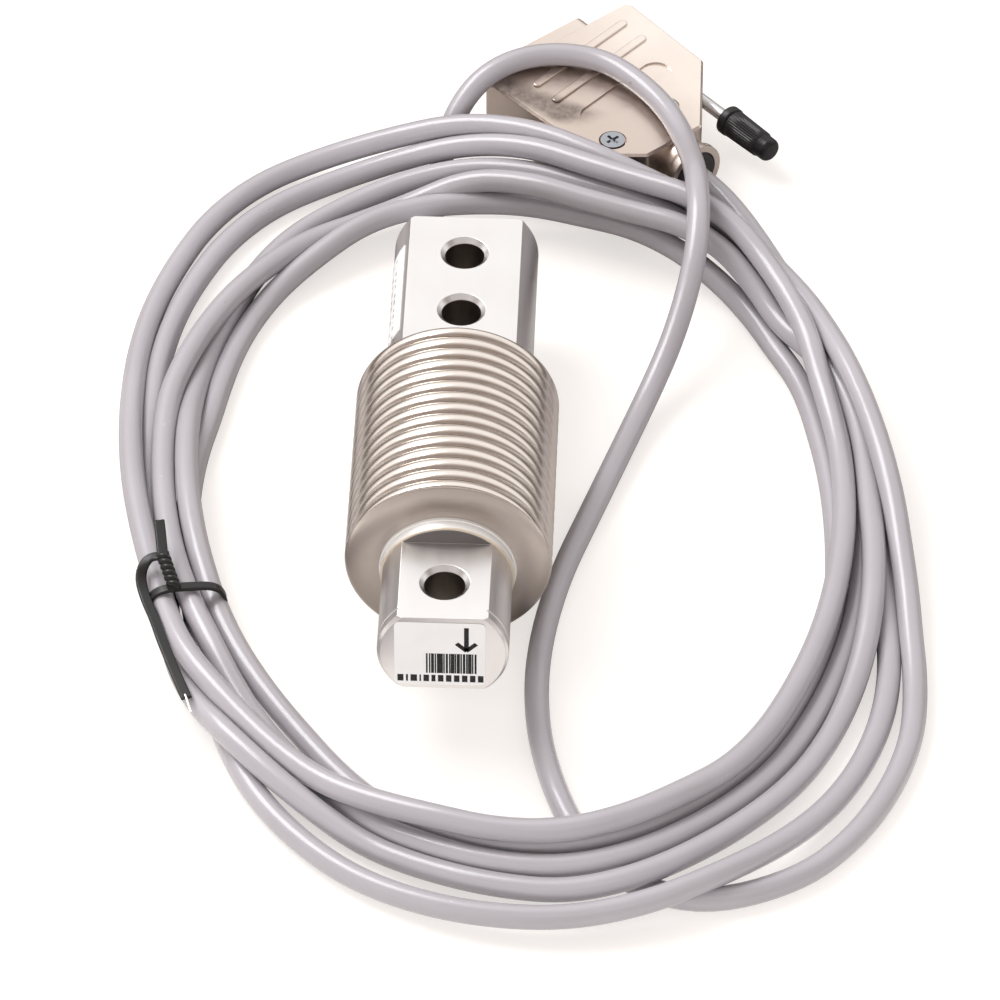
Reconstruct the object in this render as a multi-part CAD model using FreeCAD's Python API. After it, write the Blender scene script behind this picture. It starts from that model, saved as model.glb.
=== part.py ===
import FreeCAD, Part
import math
import os

# Bending beam load cell with a bellows seal, a coiled cable and a fifteen-way plug. Millimetres.
# The beam lies along Y with its load end towards -Y. The bellows rests on the floor at Z = 0.

# Measuring body
axis_height = 21.0
beam_length = 122.5
load_bar_radius = 13.2
fixed_bar_radius = 15.2
edge_chamfer = 0.6
turning_groove_depth = 0.25
flat_half_height = 9.6
load_flat_end = -39.4
fixed_flat_start = 19.5
load_hole_y = -50.75
fixed_holes_y = (31.75, 49.75)
hole_radius = 4.1
countersink = 1.0
bending_front = -33.0
bending_rear = 13.0
bending_half_width = 7.0
bending_half_height = 8.5
window_front_y = -20.0
window_rear_y = 0.0
window_radius = 5.5
window_slot_half_height = 2.5

# Bellows
ridge_count = 15
ridge_pitch = 3.324
first_ridge_y = 12.64
ridge_radius = 21.0
valley_radius = 18.2
crown_half_width = 0.75
bellows_wall = 0.5
neck_wall = 1.2
front_neck_y = -36.9
rear_neck_y = 16.8

# Strain gauges, bridge board and wires inside the bellows
gauge_length = 8.0
gauge_width = 5.0
gauge_thickness = 0.3
board_thickness = 1.6
board_length = 15.0
board_height = 12.0
board_rear_y = -3.0
core_bundle_radius = 1.3
wire_channel_x = -9.2
wire_channel_radius = 2.0

# Cable gland in the rear face
gland_radius = 3.5
gland_depth = 8.0
gland_head_flats = 9.0
gland_head_length = 2.75
gland_bore_radius = 2.7
seal_lip_radius = 3.6
seal_lip_length = 1.2

# Labels
face_label_width = 18.2
face_label_height = 17.0
face_label_corner = 1.2
side_label_front_y = 26.0
side_label_rear_y = 53.0
side_label_half_angle = 34.0
label_thickness = 0.15

# Cable
cable_radius = 2.5
lead_route = [
    (-9.2, 60.6, 21.0),
    (-9.2, 69.8, 21.0),
    (-9.3, 77.8, 16.5),
    (-9.5, 82.6, 8.7),
    (-9.8, 90.6, 4.2),
    (-9.9, 100.6, 3.8),
    (-9.6, 110.4, 4.6),
    (-8.0, 118.2, 10.0),
    (-3.2, 124.6, 16.9),
    (5.4, 129.6, 21.6),
    (16.2, 132.6, 22.6),
    (27.6, 130.6, 22.5),
    (36.4, 122.0, 22.3),
    (42.0, 110.6, 22.3),
    (45.9, 98.4, 22.7),
    (48.2, 85.6, 22.6),
    (48.9, 73.2, 20.2),
    (47.9, 61.8, 15.8),
    (45.4, 50.6, 10.6),
    (41.4, 38.6, 6.2),
    (35.8, 23.4, 3.4),
    (28.6, 2.6, 2.6),
    (21.8, -19.6, 2.55),
    (18.3, -42.0, 2.55),
    (18.8, -61.6, 2.55),
    (22.2, -78.0, 2.55),
    (28.0, -93.4, 2.55),
]
tail_route = [
    (75.2, 61.6, 2.55),
    (71.6, 71.6, 2.7),
    (67.2, 81.4, 3.1),
    (62.4, 89.4, 4.2),
    (56.9, 95.7, 6.1),
    (51.3, 101.6, 7.0),
    (45.6, 107.9, 7.0),
]

# Coil of five loose turns, as a ring with its width measured every 30 degrees from +X
coil_centre_x = 12.0
coil_inner_radii = [65.5, 68.0, 79.0, 86.5, 88.5, 71.0, 64.5, 65.0, 76.0, 94.0, 86.5, 71.5]
coil_outer_radii = [81.0, 84.0, 96.0, 106.0, 118.0, 96.0, 81.5, 82.0, 100.0, 119.0, 122.0, 97.5]
coil_height = 13.0
arch_start_y = 40.0
arch_underside = [(-27.0, 0.0), (-15.0, 11.2), (46.0, 11.2), (60.0, 0.0)]
arch_top = [(66.0, 13.0), (54.0, 14.4), (44.0, 17.4), (32.0, 20.4), (-18.0, 20.4), (-34.0, 13.0)]
coil_reach = 150.0

# Wire tie round the coil
tie_angle = 203.5
tie_width = 3.2
tie_thickness = 0.8
tie_inner_radius = 64.0
tie_outer_radius = 82.6
tie_stem_radius = 1.5
tie_tail_radius = 1.1
tie_stem_route = [(-54.6, -35.6, 14.4), (-58.6, -27.6, 14.6), (-59.6, -19.2, 17.0)]
tie_tail_route = [
    (-62.6, -30.4, 12.6),
    (-65.6, -34.4, 8.2),
    (-65.2, -40.4, 4.4),
    (-62.0, -49.4, 2.0),
    (-57.0, -60.6, 1.2),
]

# Plug, built lying flat with its mating face towards +Y, then turned and moved to its place
plug_angle = 42.0
plug_front_x = 16.5
plug_front_y = 141.7
plug_axis_height = 7.0
hood_outline = [(-21.0, 0.0), (21.0, 0.0), (20.3, -26.2), (5.2, -43.0), (-10.4, -43.0), (-19.4, -35.4)]
hood_thickness = 14.0
hood_wall = 1.7
hood_corner = 1.6
hood_edge = 0.5
cable_mouth_x = -1.0
collar_radius = 6.3
collar_rim_radius = 7.0
collar_end_y = -48.3
grommet_radius = 5.5
mark_slant = 8.0
rib_centres = [(0.8, -7.3), (0.6, -14.0)]
rib_half_length = 15.2
rib_width = 2.2
rib_height = 0.5
rib_round = 0.4
field_centre = (-0.3, -24.2)
field_half_length = 13.4
field_half_width = 3.6
field_depth = 0.4
hood_screws_at = [(-12.9, -34.3), (3.5, -33.0)]
hood_screw_head_radius = 2.7
hood_screw_head_height = 1.5
hood_screw_radius = 1.25
hood_screw_gap = 0.35
hood_post_radius = 2.8
flange_half_length = 19.6
flange_half_height = 6.25
flange_thickness = 1.0
flange_seat_y = -1.4
shell_half_top = 12.5
shell_half_bottom = 11.1
shell_half_height = 4.15
shell_corner = 2.0
shell_wall = 0.5
shell_end_y = 5.4
insulator_rear_y = -9.0
insulator_front_y = 0.5
pin_pitch = 2.77
pin_row_offset = 1.42
pin_radius = 0.5
pin_rear_y = -12.5
pin_front_y = 4.9
plug_wire_radius = 1.6
plug_wire_rear_y = -43.0

# Thumbscrews of the plug
thumbscrew_x = 16.65
thumbscrew_radius = 1.4
thumbscrew_bore = 1.48
thumbscrew_length = 50.0
right_knob_y = -38.5
left_knob_y = -41.4
knob_length = 14.8
knob_flange_radius = 3.35
knob_neck_radius = 2.9
knob_tip_radius = 2.5
knob_socket = 9.0
knob_slot_width = 0.9
knob_slot_depth = 1.5

front_y = -beam_length / 2
rear_y = beam_length / 2
up = FreeCAD.Vector(0, 0, 1)
along = FreeCAD.Vector(0, 1, 0)
across = FreeCAD.Vector(1, 0, 0)


def box(x_range, y_range, z_range):
    """Block between two coordinates on each axis."""
    corner = FreeCAD.Vector(x_range[0], y_range[0], z_range[0])
    length = x_range[1] - x_range[0]
    depth = y_range[1] - y_range[0]
    height = z_range[1] - z_range[0]
    return Part.makeBox(length, depth, height, corner)


def rod(radius, x, z, y_range):
    """Round bar along Y."""
    base = FreeCAD.Vector(x, y_range[0], z)
    return Part.makeCylinder(radius, y_range[1] - y_range[0], base, along)


def upright(radius, x, y, z_range):
    """Round bar along Z."""
    base = FreeCAD.Vector(x, y, z_range[0])
    return Part.makeCylinder(radius, z_range[1] - z_range[0], base, up)


def turned(profile, x, z):
    """Solid of revolution about a line along Y, from (radius, y) corners."""
    corners = [FreeCAD.Vector(x + radius, y, z) for radius, y in profile]
    outline = Part.makePolygon(corners + corners[:1])
    return Part.Face(outline).revolve(FreeCAD.Vector(x, 0, z), along, 360)


def prism(corners, z_range):
    """Upright prism over (x, y) corners."""
    points = [FreeCAD.Vector(x, y, z_range[0]) for x, y in corners]
    outline = Part.makePolygon(points + points[:1])
    return Part.Face(outline).extrude(FreeCAD.Vector(0, 0, z_range[1] - z_range[0]))


def edges_along(shape, direction):
    """Straight edges of a shape that run along a direction."""
    found = []
    for edge in shape.Edges:
        run = edge.Vertexes[-1].Point - edge.Vertexes[0].Point
        if run.Length > 0 and run.cross(direction).Length < 1e-6:
            found.append(edge)
    return found


def through_hole(y):
    """Vertical bolt hole, countersunk on both flats."""
    low = axis_height - flat_half_height
    high = axis_height + flat_half_height
    hole = upright(hole_radius, 0, y, (low, high))
    wide = hole_radius + countersink
    bottom = Part.makeCone(wide, hole_radius, countersink, FreeCAD.Vector(0, y, low), up)
    top = Part.makeCone(hole_radius, wide, countersink, FreeCAD.Vector(0, y, high - countersink), up)
    return hole.fuse([bottom, top])


def flat_cutters(y_range):
    """Two blocks that mill the parallel flats of one end."""
    reach = 2 * fixed_bar_radius
    upper = box((-reach, reach), y_range, (axis_height + flat_half_height, axis_height + reach))
    lower = box((-reach, reach), y_range, (axis_height - reach, axis_height - flat_half_height))
    return [upper, lower]


def bending_window():
    """Two cross holes joined by a slot, which leave thin webs under the strain gauges."""
    start = FreeCAD.Vector(-bending_half_width - 1, window_front_y, axis_height)
    length = 2 * bending_half_width + 2
    front_hole = Part.makeCylinder(window_radius, length, start, across)
    start = FreeCAD.Vector(-bending_half_width - 1, window_rear_y, axis_height)
    rear_hole = Part.makeCylinder(window_radius, length, start, across)
    low = axis_height - window_slot_half_height
    high = axis_height + window_slot_half_height
    x_range = (-bending_half_width - 1, bending_half_width + 1)
    slot = box(x_range, (window_front_y, window_rear_y), (low, high))
    return [front_hole, rear_hole, slot]


def measuring_body():
    """Machined bar: round load end, bending section and round fixed end in one piece."""
    groove_y = front_y + 2.6
    load_bar = turned(
        [
            (0, front_y),
            (load_bar_radius - edge_chamfer, front_y),
            (load_bar_radius, front_y + edge_chamfer),
            (load_bar_radius, groove_y - turning_groove_depth),
            (load_bar_radius - turning_groove_depth, groove_y),
            (load_bar_radius, groove_y + turning_groove_depth),
            (load_bar_radius, bending_front),
            (0, bending_front),
        ],
        0,
        axis_height,
    )
    fixed_bar = turned(
        [
            (0, bending_rear),
            (fixed_bar_radius, bending_rear),
            (fixed_bar_radius, rear_y - edge_chamfer),
            (fixed_bar_radius - edge_chamfer, rear_y),
            (0, rear_y),
        ],
        0,
        axis_height,
    )
    bending = box(
        (-bending_half_width, bending_half_width),
        (bending_front - 1, bending_rear + 1),
        (axis_height - bending_half_height, axis_height + bending_half_height),
    )
    cuts = flat_cutters((front_y - 1, load_flat_end))
    cuts += flat_cutters((fixed_flat_start, rear_y + 1))
    cuts += bending_window()
    for y in (load_hole_y,) + fixed_holes_y:
        cuts.append(through_hole(y))
    cuts.append(rod(wire_channel_radius, wire_channel_x, axis_height, (bending_rear - 1, rear_y)))
    cuts.append(rod(gland_radius, wire_channel_x, axis_height, (rear_y - gland_depth, rear_y + 1)))
    return load_bar.fuse([fixed_bar, bending]).cut(cuts).removeSplitter()


def bellows():
    """Thin convoluted sleeve with a neck welded to each end of the bending section."""
    ridges = [first_ridge_y - ridge_pitch * number for number in range(ridge_count)]
    front = ridges[-1]
    rear = ridges[0]
    outer = [
        (fixed_bar_radius + neck_wall, rear_neck_y),
        (fixed_bar_radius + neck_wall, rear + 2.5),
        (ridge_radius - 1.6, rear + 2.2),
        (ridge_radius - 0.5, rear + 1.5),
    ]
    for y in ridges:
        outer.append((ridge_radius, y + crown_half_width))
        outer.append((ridge_radius, y - crown_half_width))
        if y != front:
            outer.append((valley_radius, y - ridge_pitch / 2))
    outer += [
        (ridge_radius - 0.5, front - 1.5),
        (ridge_radius - 1.6, front - 2.1),
        (load_bar_radius + neck_wall, front - 2.3),
        (load_bar_radius + neck_wall, front_neck_y),
    ]
    inner = [
        (load_bar_radius, front_neck_y),
        (load_bar_radius, front - 1.6),
        (ridge_radius - 2.0, front - 1.4),
    ]
    for y in reversed(ridges):
        inner.append((ridge_radius - bellows_wall, y))
        if y != rear:
            inner.append((valley_radius - bellows_wall, y + ridge_pitch / 2))
    inner += [
        (ridge_radius - 2.0, rear + 1.5),
        (fixed_bar_radius, rear + 1.7),
        (fixed_bar_radius, rear_neck_y),
    ]
    return turned(outer + inner, 0, axis_height)


def strain_gauge(y, side):
    """Foil gauge on the web over one cross hole; side is +1 for the top and -1 for the bottom."""
    near = axis_height + side * bending_half_height
    far = near + side * gauge_thickness
    x_range = (-gauge_width / 2, gauge_width / 2)
    y_range = (y - gauge_length / 2, y + gauge_length / 2)
    return box(x_range, y_range, (min(near, far), max(near, far)))


def bridge_board():
    """Small board on the left side of the bending section."""
    x_range = (-bending_half_width - board_thickness, -bending_half_width)
    y_range = (board_rear_y - board_length, board_rear_y)
    z_range = (axis_height - board_height / 2, axis_height + board_height / 2)
    return box(x_range, y_range, z_range)


def core_wires():
    """Bundle of cores in the wire channel, from the cable's end to the board."""
    return rod(core_bundle_radius, wire_channel_x, axis_height, (board_rear_y, lead_route[0][1]))


def cable_gland():
    """Threaded bush with a hexagon head in the rear face."""
    stem = rod(gland_radius, wire_channel_x, axis_height, (rear_y - gland_depth, rear_y))
    corner_radius = gland_head_flats / 2 / math.cos(math.radians(30))
    corners = []
    for step in range(7):
        angle = math.radians(60 * step)
        x = wire_channel_x + corner_radius * math.cos(angle)
        z = axis_height + corner_radius * math.sin(angle)
        corners.append(FreeCAD.Vector(x, rear_y, z))
    head = Part.Face(Part.makePolygon(corners)).extrude(FreeCAD.Vector(0, gland_head_length, 0))
    bore = rod(gland_bore_radius, wire_channel_x, axis_height, (rear_y - gland_depth - 1, rear_y + 10))
    return stem.fuse(head).cut(bore)


def gland_seal():
    """Rubber sleeve round the cable with a lip on the gland's head."""
    head_end = rear_y + gland_head_length
    profile = [
        (cable_radius, rear_y - 3),
        (gland_bore_radius, rear_y - 3),
        (gland_bore_radius, head_end),
        (seal_lip_radius, head_end),
        (seal_lip_radius - 0.4, head_end + seal_lip_length),
        (cable_radius, head_end + seal_lip_length),
    ]
    return turned(profile, wire_channel_x, axis_height)


def face_label():
    """Label with rounded corners on the load end's front face."""
    half_width = face_label_width / 2
    half_height = face_label_height / 2
    plate = box(
        (-half_width, half_width),
        (front_y - label_thickness, front_y),
        (axis_height - half_height, axis_height + half_height),
    )
    return plate.makeFillet(face_label_corner, edges_along(plate, along))


def side_label():
    """Label wrapped on the round left side of the fixed end."""
    inside = -fixed_bar_radius
    outside = inside - label_thickness
    corners = [
        FreeCAD.Vector(inside, side_label_front_y, axis_height),
        FreeCAD.Vector(outside, side_label_front_y, axis_height),
        FreeCAD.Vector(outside, side_label_rear_y, axis_height),
        FreeCAD.Vector(inside, side_label_rear_y, axis_height),
    ]
    strip = Part.Face(Part.makePolygon(corners + corners[:1]))
    centre = FreeCAD.Vector(0, 0, axis_height)
    strip.rotate(centre, along, -side_label_half_angle)
    return strip.revolve(centre, along, 2 * side_label_half_angle)


def rounded_path(route, radii):
    """Wire of straight runs with a tangent arc at every inner point; adds each arc's radius to radii."""
    points = [FreeCAD.Vector(*corner) for corner in route]
    edges = []
    start = points[0]
    for before, corner, after in zip(points, points[1:], points[2:]):
        back = before - corner
        ahead = after - corner
        half_turn = (math.pi - back.getAngle(ahead)) / 2
        reach = 0.45 * min(back.Length, ahead.Length)
        radius = reach / math.tan(half_turn)
        radii.append(radius)
        back.normalize()
        ahead.normalize()
        inward = back + ahead
        inward.normalize()
        arc_start = corner + back * reach
        arc_end = corner + ahead * reach
        arc_middle = corner + inward * (radius / math.cos(half_turn) - radius)
        edges.append(Part.LineSegment(start, arc_start).toShape())
        edges.append(Part.Arc(arc_start, arc_middle, arc_end).toShape())
        start = arc_end
    edges.append(Part.LineSegment(start, points[-1]).toShape())
    return Part.Wire(edges)


def tube(name, route, radius):
    """Round tube along a route; prints its bend radii and compares its volume with section times length."""
    radii = []
    path = rounded_path(route, radii)
    heading = FreeCAD.Vector(*route[1]) - FreeCAD.Vector(*route[0])
    circle = Part.Circle(FreeCAD.Vector(*route[0]), heading, radius)
    section = Part.Wire([circle.toShape()])
    solid = path.makePipeShell([section], True, False)
    expected = math.pi * radius ** 2 * path.Length
    print(name, "bend radii", [round(value, 1) for value in radii])
    print(name, "length", round(path.Length, 1), "volume ratio", round(solid.Volume / expected, 4))
    return solid


def ring_wall(radii):
    """Upright prism inside a smooth closed curve given by radii at equal angles."""
    points = []
    for number, radius in enumerate(radii):
        angle = 2 * math.pi * number / len(radii)
        x = coil_centre_x + radius * math.cos(angle)
        points.append(FreeCAD.Vector(x, radius * math.sin(angle), 0))
    curve = Part.BSplineCurve()
    curve.interpolate(points, PeriodicFlag=True)
    face = Part.Face(Part.Wire([curve.toShape()]))
    return face.extrude(FreeCAD.Vector(0, 0, 2 * coil_height))


def coil_side_profile():
    """Height of the coil: flat on the floor, raised to an arch where it crosses the lead and the plug."""
    flat = box((-coil_reach, coil_reach), (-coil_reach, arch_start_y), (0, coil_height))
    low = [(-coil_reach, 0)] + arch_underside + [(coil_reach, 0)]
    high = [(coil_reach, coil_height)] + arch_top + [(-coil_reach, coil_height)]
    corners = [FreeCAD.Vector(x, arch_start_y, z) for x, z in low + high]
    face = Part.Face(Part.makePolygon(corners + corners[:1]))
    arch = face.extrude(FreeCAD.Vector(0, coil_reach - arch_start_y, 0))
    return flat.fuse(arch)


def cable_coil():
    """Coiled turns as one closed ring."""
    ring = ring_wall(coil_outer_radii).cut(ring_wall(coil_inner_radii))
    return ring.common(coil_side_profile()).removeSplitter()


def coil_tie():
    """Flat wire tie round the coil with a twisted stem and a long tail."""
    half_width = tie_width / 2
    hole_x = (tie_inner_radius + tie_thickness, tie_outer_radius - tie_thickness)
    band = box((tie_inner_radius, tie_outer_radius), (-half_width, half_width), (0, coil_height + tie_thickness))
    hole = box(hole_x, (-tie_width, tie_width), (tie_thickness, coil_height))
    strap = band.cut(hole)
    strap.rotate(FreeCAD.Vector(0, 0, 0), up, tie_angle)
    strap.translate(FreeCAD.Vector(coil_centre_x, 0, 0))
    stem = tube("tie stem", tie_stem_route, tie_stem_radius)
    tail = tube("tie tail", tie_tail_route, tie_tail_radius)
    return strap.fuse([stem, tail])


def hood_blank():
    """Solid outside form of the hood with its cable collar."""
    body = prism(hood_outline, (0, hood_thickness))
    body = body.makeFillet(hood_corner, edges_along(body, up))
    rims = []
    for edge in body.Edges:
        low = edge.BoundBox.ZMin
        high = edge.BoundBox.ZMax
        if high - low < 1e-6:
            rims.append(edge)
    body = body.makeChamfer(hood_edge, rims)
    rear = min(y for x, y in hood_outline)
    collar = turned(
        [
            (0, rear + 1.5),
            (collar_radius, rear + 1.5),
            (collar_radius, collar_end_y + 3.1),
            (collar_rim_radius, collar_end_y + 1.5),
            (collar_rim_radius, collar_end_y),
            (0, collar_end_y),
        ],
        cable_mouth_x,
        plug_axis_height,
    )
    return body.fuse(collar)


def hood_hollow():
    """Room inside the closed hood: wire room, connector room, flange pocket and cable mouth."""
    points = [FreeCAD.Vector(x, y, hood_wall) for x, y in hood_outline]
    outline = Part.makePolygon(points + points[:1]).makeOffset2D(-hood_wall, 2)
    height = hood_thickness - 2 * hood_wall
    wire_room = Part.Face(outline).extrude(FreeCAD.Vector(0, 0, height))
    wire_room = wire_room.common(box((-30, 30), (-60, -14), (0, hood_thickness)))
    z_range = (hood_wall, hood_thickness - hood_wall)
    connector_room = box((-13.4, 13.4), (-14.5, 1), z_range)
    pocket_half_length = flange_half_length + 0.2
    pocket_half_height = flange_half_height + 0.1
    pocket = box(
        (-pocket_half_length, pocket_half_length),
        (flange_seat_y, 1),
        (plug_axis_height - pocket_half_height, plug_axis_height + pocket_half_height),
    )
    mouth = rod(grommet_radius, cable_mouth_x, plug_axis_height, (collar_end_y - 1, -40))
    return wire_room.fuse([connector_room, pocket, mouth])


def thumbscrew_bores():
    """Long clearance holes for both thumbscrews."""
    y_range = (-50, 2)
    right = rod(thumbscrew_bore, thumbscrew_x, plug_axis_height, y_range)
    left = rod(thumbscrew_bore, -thumbscrew_x, plug_axis_height, y_range)
    return [right, left]


def round_ended_bar(half_length, half_width, z_range):
    """Upright bar along X with round ends."""
    straight = half_length - half_width
    middle = box((-straight, straight), (-half_width, half_width), z_range)
    ends = [upright(half_width, side * straight, 0, z_range) for side in (-1, 1)]
    return middle.fuse(ends).removeSplitter()


def on_hood_top(bar, centre):
    """Turn a bar by the slant of the marks and move it to its place on the hood."""
    bar.rotate(FreeCAD.Vector(0, 0, 0), up, mark_slant)
    bar.translate(FreeCAD.Vector(centre[0], centre[1], 0))
    return bar


def hood_rib(centre):
    """Raised grip rib with a rounded top."""
    top = hood_thickness + rib_height
    bar = round_ended_bar(rib_half_length, rib_width / 2, (hood_thickness - 0.5, top))
    rim = [edge for edge in bar.Edges if edge.BoundBox.ZMin > top - 1e-6]
    return on_hood_top(bar.makeFillet(rib_round, rim), centre)


def oval_field():
    """Shallow oval recess in the top of the hood."""
    z_range = (hood_thickness - field_depth, hood_thickness + 1)
    return on_hood_top(round_ended_bar(field_half_length, field_half_width, z_range), field_centre)


def hood_upper():
    """Upper half of the hood with raised ribs, an oval field and screw bosses."""
    upper_room = box((-60, 60), (-80, 20), (plug_axis_height, 3 * plug_axis_height))
    half = hood_blank().cut(hood_hollow()).common(upper_room)
    additions = [hood_rib(centre) for centre in rib_centres]
    for x, y in hood_screws_at:
        additions.append(upright(hood_post_radius, x, y, (plug_axis_height, hood_thickness - 0.5)))
    seat = hood_thickness + 0.2 - hood_screw_head_height
    cuts = thumbscrew_bores()
    cuts.append(oval_field())
    for x, y in hood_screws_at:
        cuts.append(upright(hood_screw_radius + 0.15, x, y, (plug_axis_height - 1, hood_thickness + 1)))
        cuts.append(upright(hood_screw_head_radius + hood_screw_gap, x, y, (seat, hood_thickness + 1)))
    return half.fuse(additions).cut(cuts).removeSplitter()


def hood_lower():
    """Lower half of the hood with posts for the two screws."""
    lower_room = box((-60, 60), (-80, 20), (-1, plug_axis_height))
    half = hood_blank().cut(hood_hollow()).common(lower_room)
    posts = [upright(hood_post_radius, x, y, (1, plug_axis_height)) for x, y in hood_screws_at]
    cuts = thumbscrew_bores()
    for x, y in hood_screws_at:
        cuts.append(upright(hood_screw_radius, x, y, (2.5, plug_axis_height + 1)))
    return half.fuse(posts).cut(cuts).removeSplitter()


def hood_screw(x, y):
    """Pan head screw with a cross recess."""
    top = hood_thickness + 0.2
    seat = top - hood_screw_head_height
    head = upright(hood_screw_head_radius, x, y, (seat, top))
    shank = upright(hood_screw_radius, x, y, (2.5, seat))
    slot_z = (top - 0.8, top + 1)
    first = box((x - 1.6, x + 1.6), (y - 0.35, y + 0.35), slot_z)
    second = box((x - 0.35, x + 0.35), (y - 1.6, y + 1.6), slot_z)
    return head.fuse(shank).cut([first, second])


def hood_screws():
    """Both screws that close the hood."""
    return Part.makeCompound([hood_screw(x, y) for x, y in hood_screws_at])


def shell_prism(inset, y_range):
    """D shaped prism along Y, smaller by an inset."""
    low = plug_axis_height - shell_half_height + inset
    high = plug_axis_height + shell_half_height - inset
    top = shell_half_top - inset
    bottom = shell_half_bottom - inset
    corners = [(-top, high), (top, high), (bottom, low), (-bottom, low)]
    points = [FreeCAD.Vector(x, y_range[0], z) for x, z in corners]
    face = Part.Face(Part.makePolygon(points + points[:1]))
    solid = face.extrude(FreeCAD.Vector(0, y_range[1] - y_range[0], 0))
    return solid.makeFillet(shell_corner - inset, edges_along(solid, along))


def connector_shell():
    """Flange and D shaped skirt of the connector in one sheet."""
    y_range = (flange_seat_y, flange_seat_y + flange_thickness)
    z_range = (plug_axis_height - flange_half_height, plug_axis_height + flange_half_height)
    flange = box((-flange_half_length, flange_half_length), y_range, z_range)
    flange = flange.makeFillet(1.5, edges_along(flange, along))
    skirt = shell_prism(0, (flange_seat_y, shell_end_y))
    opening = shell_prism(shell_wall, (flange_seat_y - 1, shell_end_y + 1))
    return flange.fuse(skirt).cut([opening] + thumbscrew_bores())


def pin_places():
    """Pin positions (x, z): eight in the upper row and seven in the lower row."""
    places = [(pin_pitch * (number - 3.5), plug_axis_height + pin_row_offset) for number in range(8)]
    places += [(pin_pitch * (number - 3), plug_axis_height - pin_row_offset) for number in range(7)]
    return places


def connector_insulator():
    """Moulded block that holds the pins in the shell."""
    block = shell_prism(shell_wall, (insulator_rear_y, insulator_front_y))
    y_range = (insulator_rear_y - 1, insulator_front_y + 1)
    return block.cut([rod(pin_radius, x, z, y_range) for x, z in pin_places()])


def connector_pins():
    """Fifteen round pins."""
    return Part.makeCompound([rod(pin_radius, x, z, (pin_rear_y, pin_front_y)) for x, z in pin_places()])


def plug_wires():
    """Bundle of cores from the cable's end to the pins."""
    return rod(plug_wire_radius, cable_mouth_x, plug_axis_height, (plug_wire_rear_y, pin_rear_y))


def cable_grommet():
    """Rubber sleeve between the cable and the collar."""
    profile = [
        (cable_radius, -40.4),
        (grommet_radius, -40.4),
        (grommet_radius, collar_end_y + 0.3),
        (grommet_radius - 0.9, collar_end_y - 0.6),
        (cable_radius, collar_end_y - 0.6),
    ]
    return turned(profile, cable_mouth_x, plug_axis_height)


def thumbscrew_shaft(x, knob_y):
    """Long screw through the hood with a bevelled tip."""
    rear = knob_y - knob_socket
    tip = rear + thumbscrew_length
    profile = [
        (0, rear),
        (thumbscrew_radius, rear),
        (thumbscrew_radius, tip - 0.6),
        (thumbscrew_radius - 0.6, tip),
        (0, tip),
    ]
    return turned(profile, x, plug_axis_height)


def thumbscrew_knob(x, knob_y):
    """Tapered finger knob with a flange, a socket for the screw and a slot in its tip."""
    end = knob_y - knob_length
    profile = [
        (0, knob_y),
        (knob_flange_radius - 0.6, knob_y),
        (knob_flange_radius, knob_y - 0.6),
        (knob_flange_radius, knob_y - 1.7),
        (knob_neck_radius, knob_y - 2.3),
        (knob_tip_radius, end + 1.6),
        (knob_tip_radius - 0.7, end),
        (0, end),
    ]
    knob = turned(profile, x, plug_axis_height)
    socket = rod(thumbscrew_radius, x, plug_axis_height, (knob_y - knob_socket, knob_y + 1))
    half_slot = knob_slot_width / 2
    z_range = (plug_axis_height - half_slot, plug_axis_height + half_slot)
    slot = box((x - 5, x + 5), (end - 1, end + knob_slot_depth), z_range)
    return knob.cut([socket, slot])


def placed(shape):
    """Turn and move a piece of the plug to where the plug lies."""
    shape.rotate(FreeCAD.Vector(0, 0, 0), up, plug_angle)
    shape.translate(FreeCAD.Vector(plug_front_x, plug_front_y, 0))
    return shape


pieces = {
    "measuring_body": measuring_body(),
    "bellows": bellows(),
    "gauge_top_front": strain_gauge(window_front_y, 1),
    "gauge_top_rear": strain_gauge(window_rear_y, 1),
    "gauge_bottom_front": strain_gauge(window_front_y, -1),
    "gauge_bottom_rear": strain_gauge(window_rear_y, -1),
    "bridge_board": bridge_board(),
    "core_wires": core_wires(),
    "cable_gland": cable_gland(),
    "gland_seal": gland_seal(),
    "face_label": face_label(),
    "side_label": side_label(),
    "cable_lead": tube("cable lead", lead_route, cable_radius),
    "cable_coil": cable_coil(),
    "cable_tail": tube("cable tail", tail_route, cable_radius),
    "coil_tie": coil_tie(),
    "hood_upper": placed(hood_upper()),
    "hood_lower": placed(hood_lower()),
    "hood_screws": placed(hood_screws()),
    "connector_shell": placed(connector_shell()),
    "connector_insulator": placed(connector_insulator()),
    "connector_pins": placed(connector_pins()),
    "plug_wires": placed(plug_wires()),
    "cable_grommet": placed(cable_grommet()),
    "thumbscrew_shaft_right": placed(thumbscrew_shaft(thumbscrew_x, right_knob_y)),
    "thumbscrew_knob_right": placed(thumbscrew_knob(thumbscrew_x, right_knob_y)),
    "thumbscrew_shaft_left": placed(thumbscrew_shaft(-thumbscrew_x, left_knob_y)),
    "thumbscrew_knob_left": placed(thumbscrew_knob(-thumbscrew_x, left_knob_y)),
}

os.makedirs("parts", exist_ok=True)
for name, shape in pieces.items():
    shape.exportStep("parts/" + name + ".step")
    print(name, "volume", round(shape.Volume, 1), "valid", shape.isValid(), "solids", len(shape.Solids))
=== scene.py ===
"""Bending beam load cell with a steel bellows, a coiled cable and a plug, in a plain white studio.

Sizes are in millimetres in the classes and become metres when a mesh is finished.
"""

import functools
import logging
import math
from collections.abc import Sequence
from dataclasses import dataclass
from enum import Enum

import bmesh
import bpy
import numpy as np
from mathutils import Matrix, Quaternion, Vector

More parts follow.
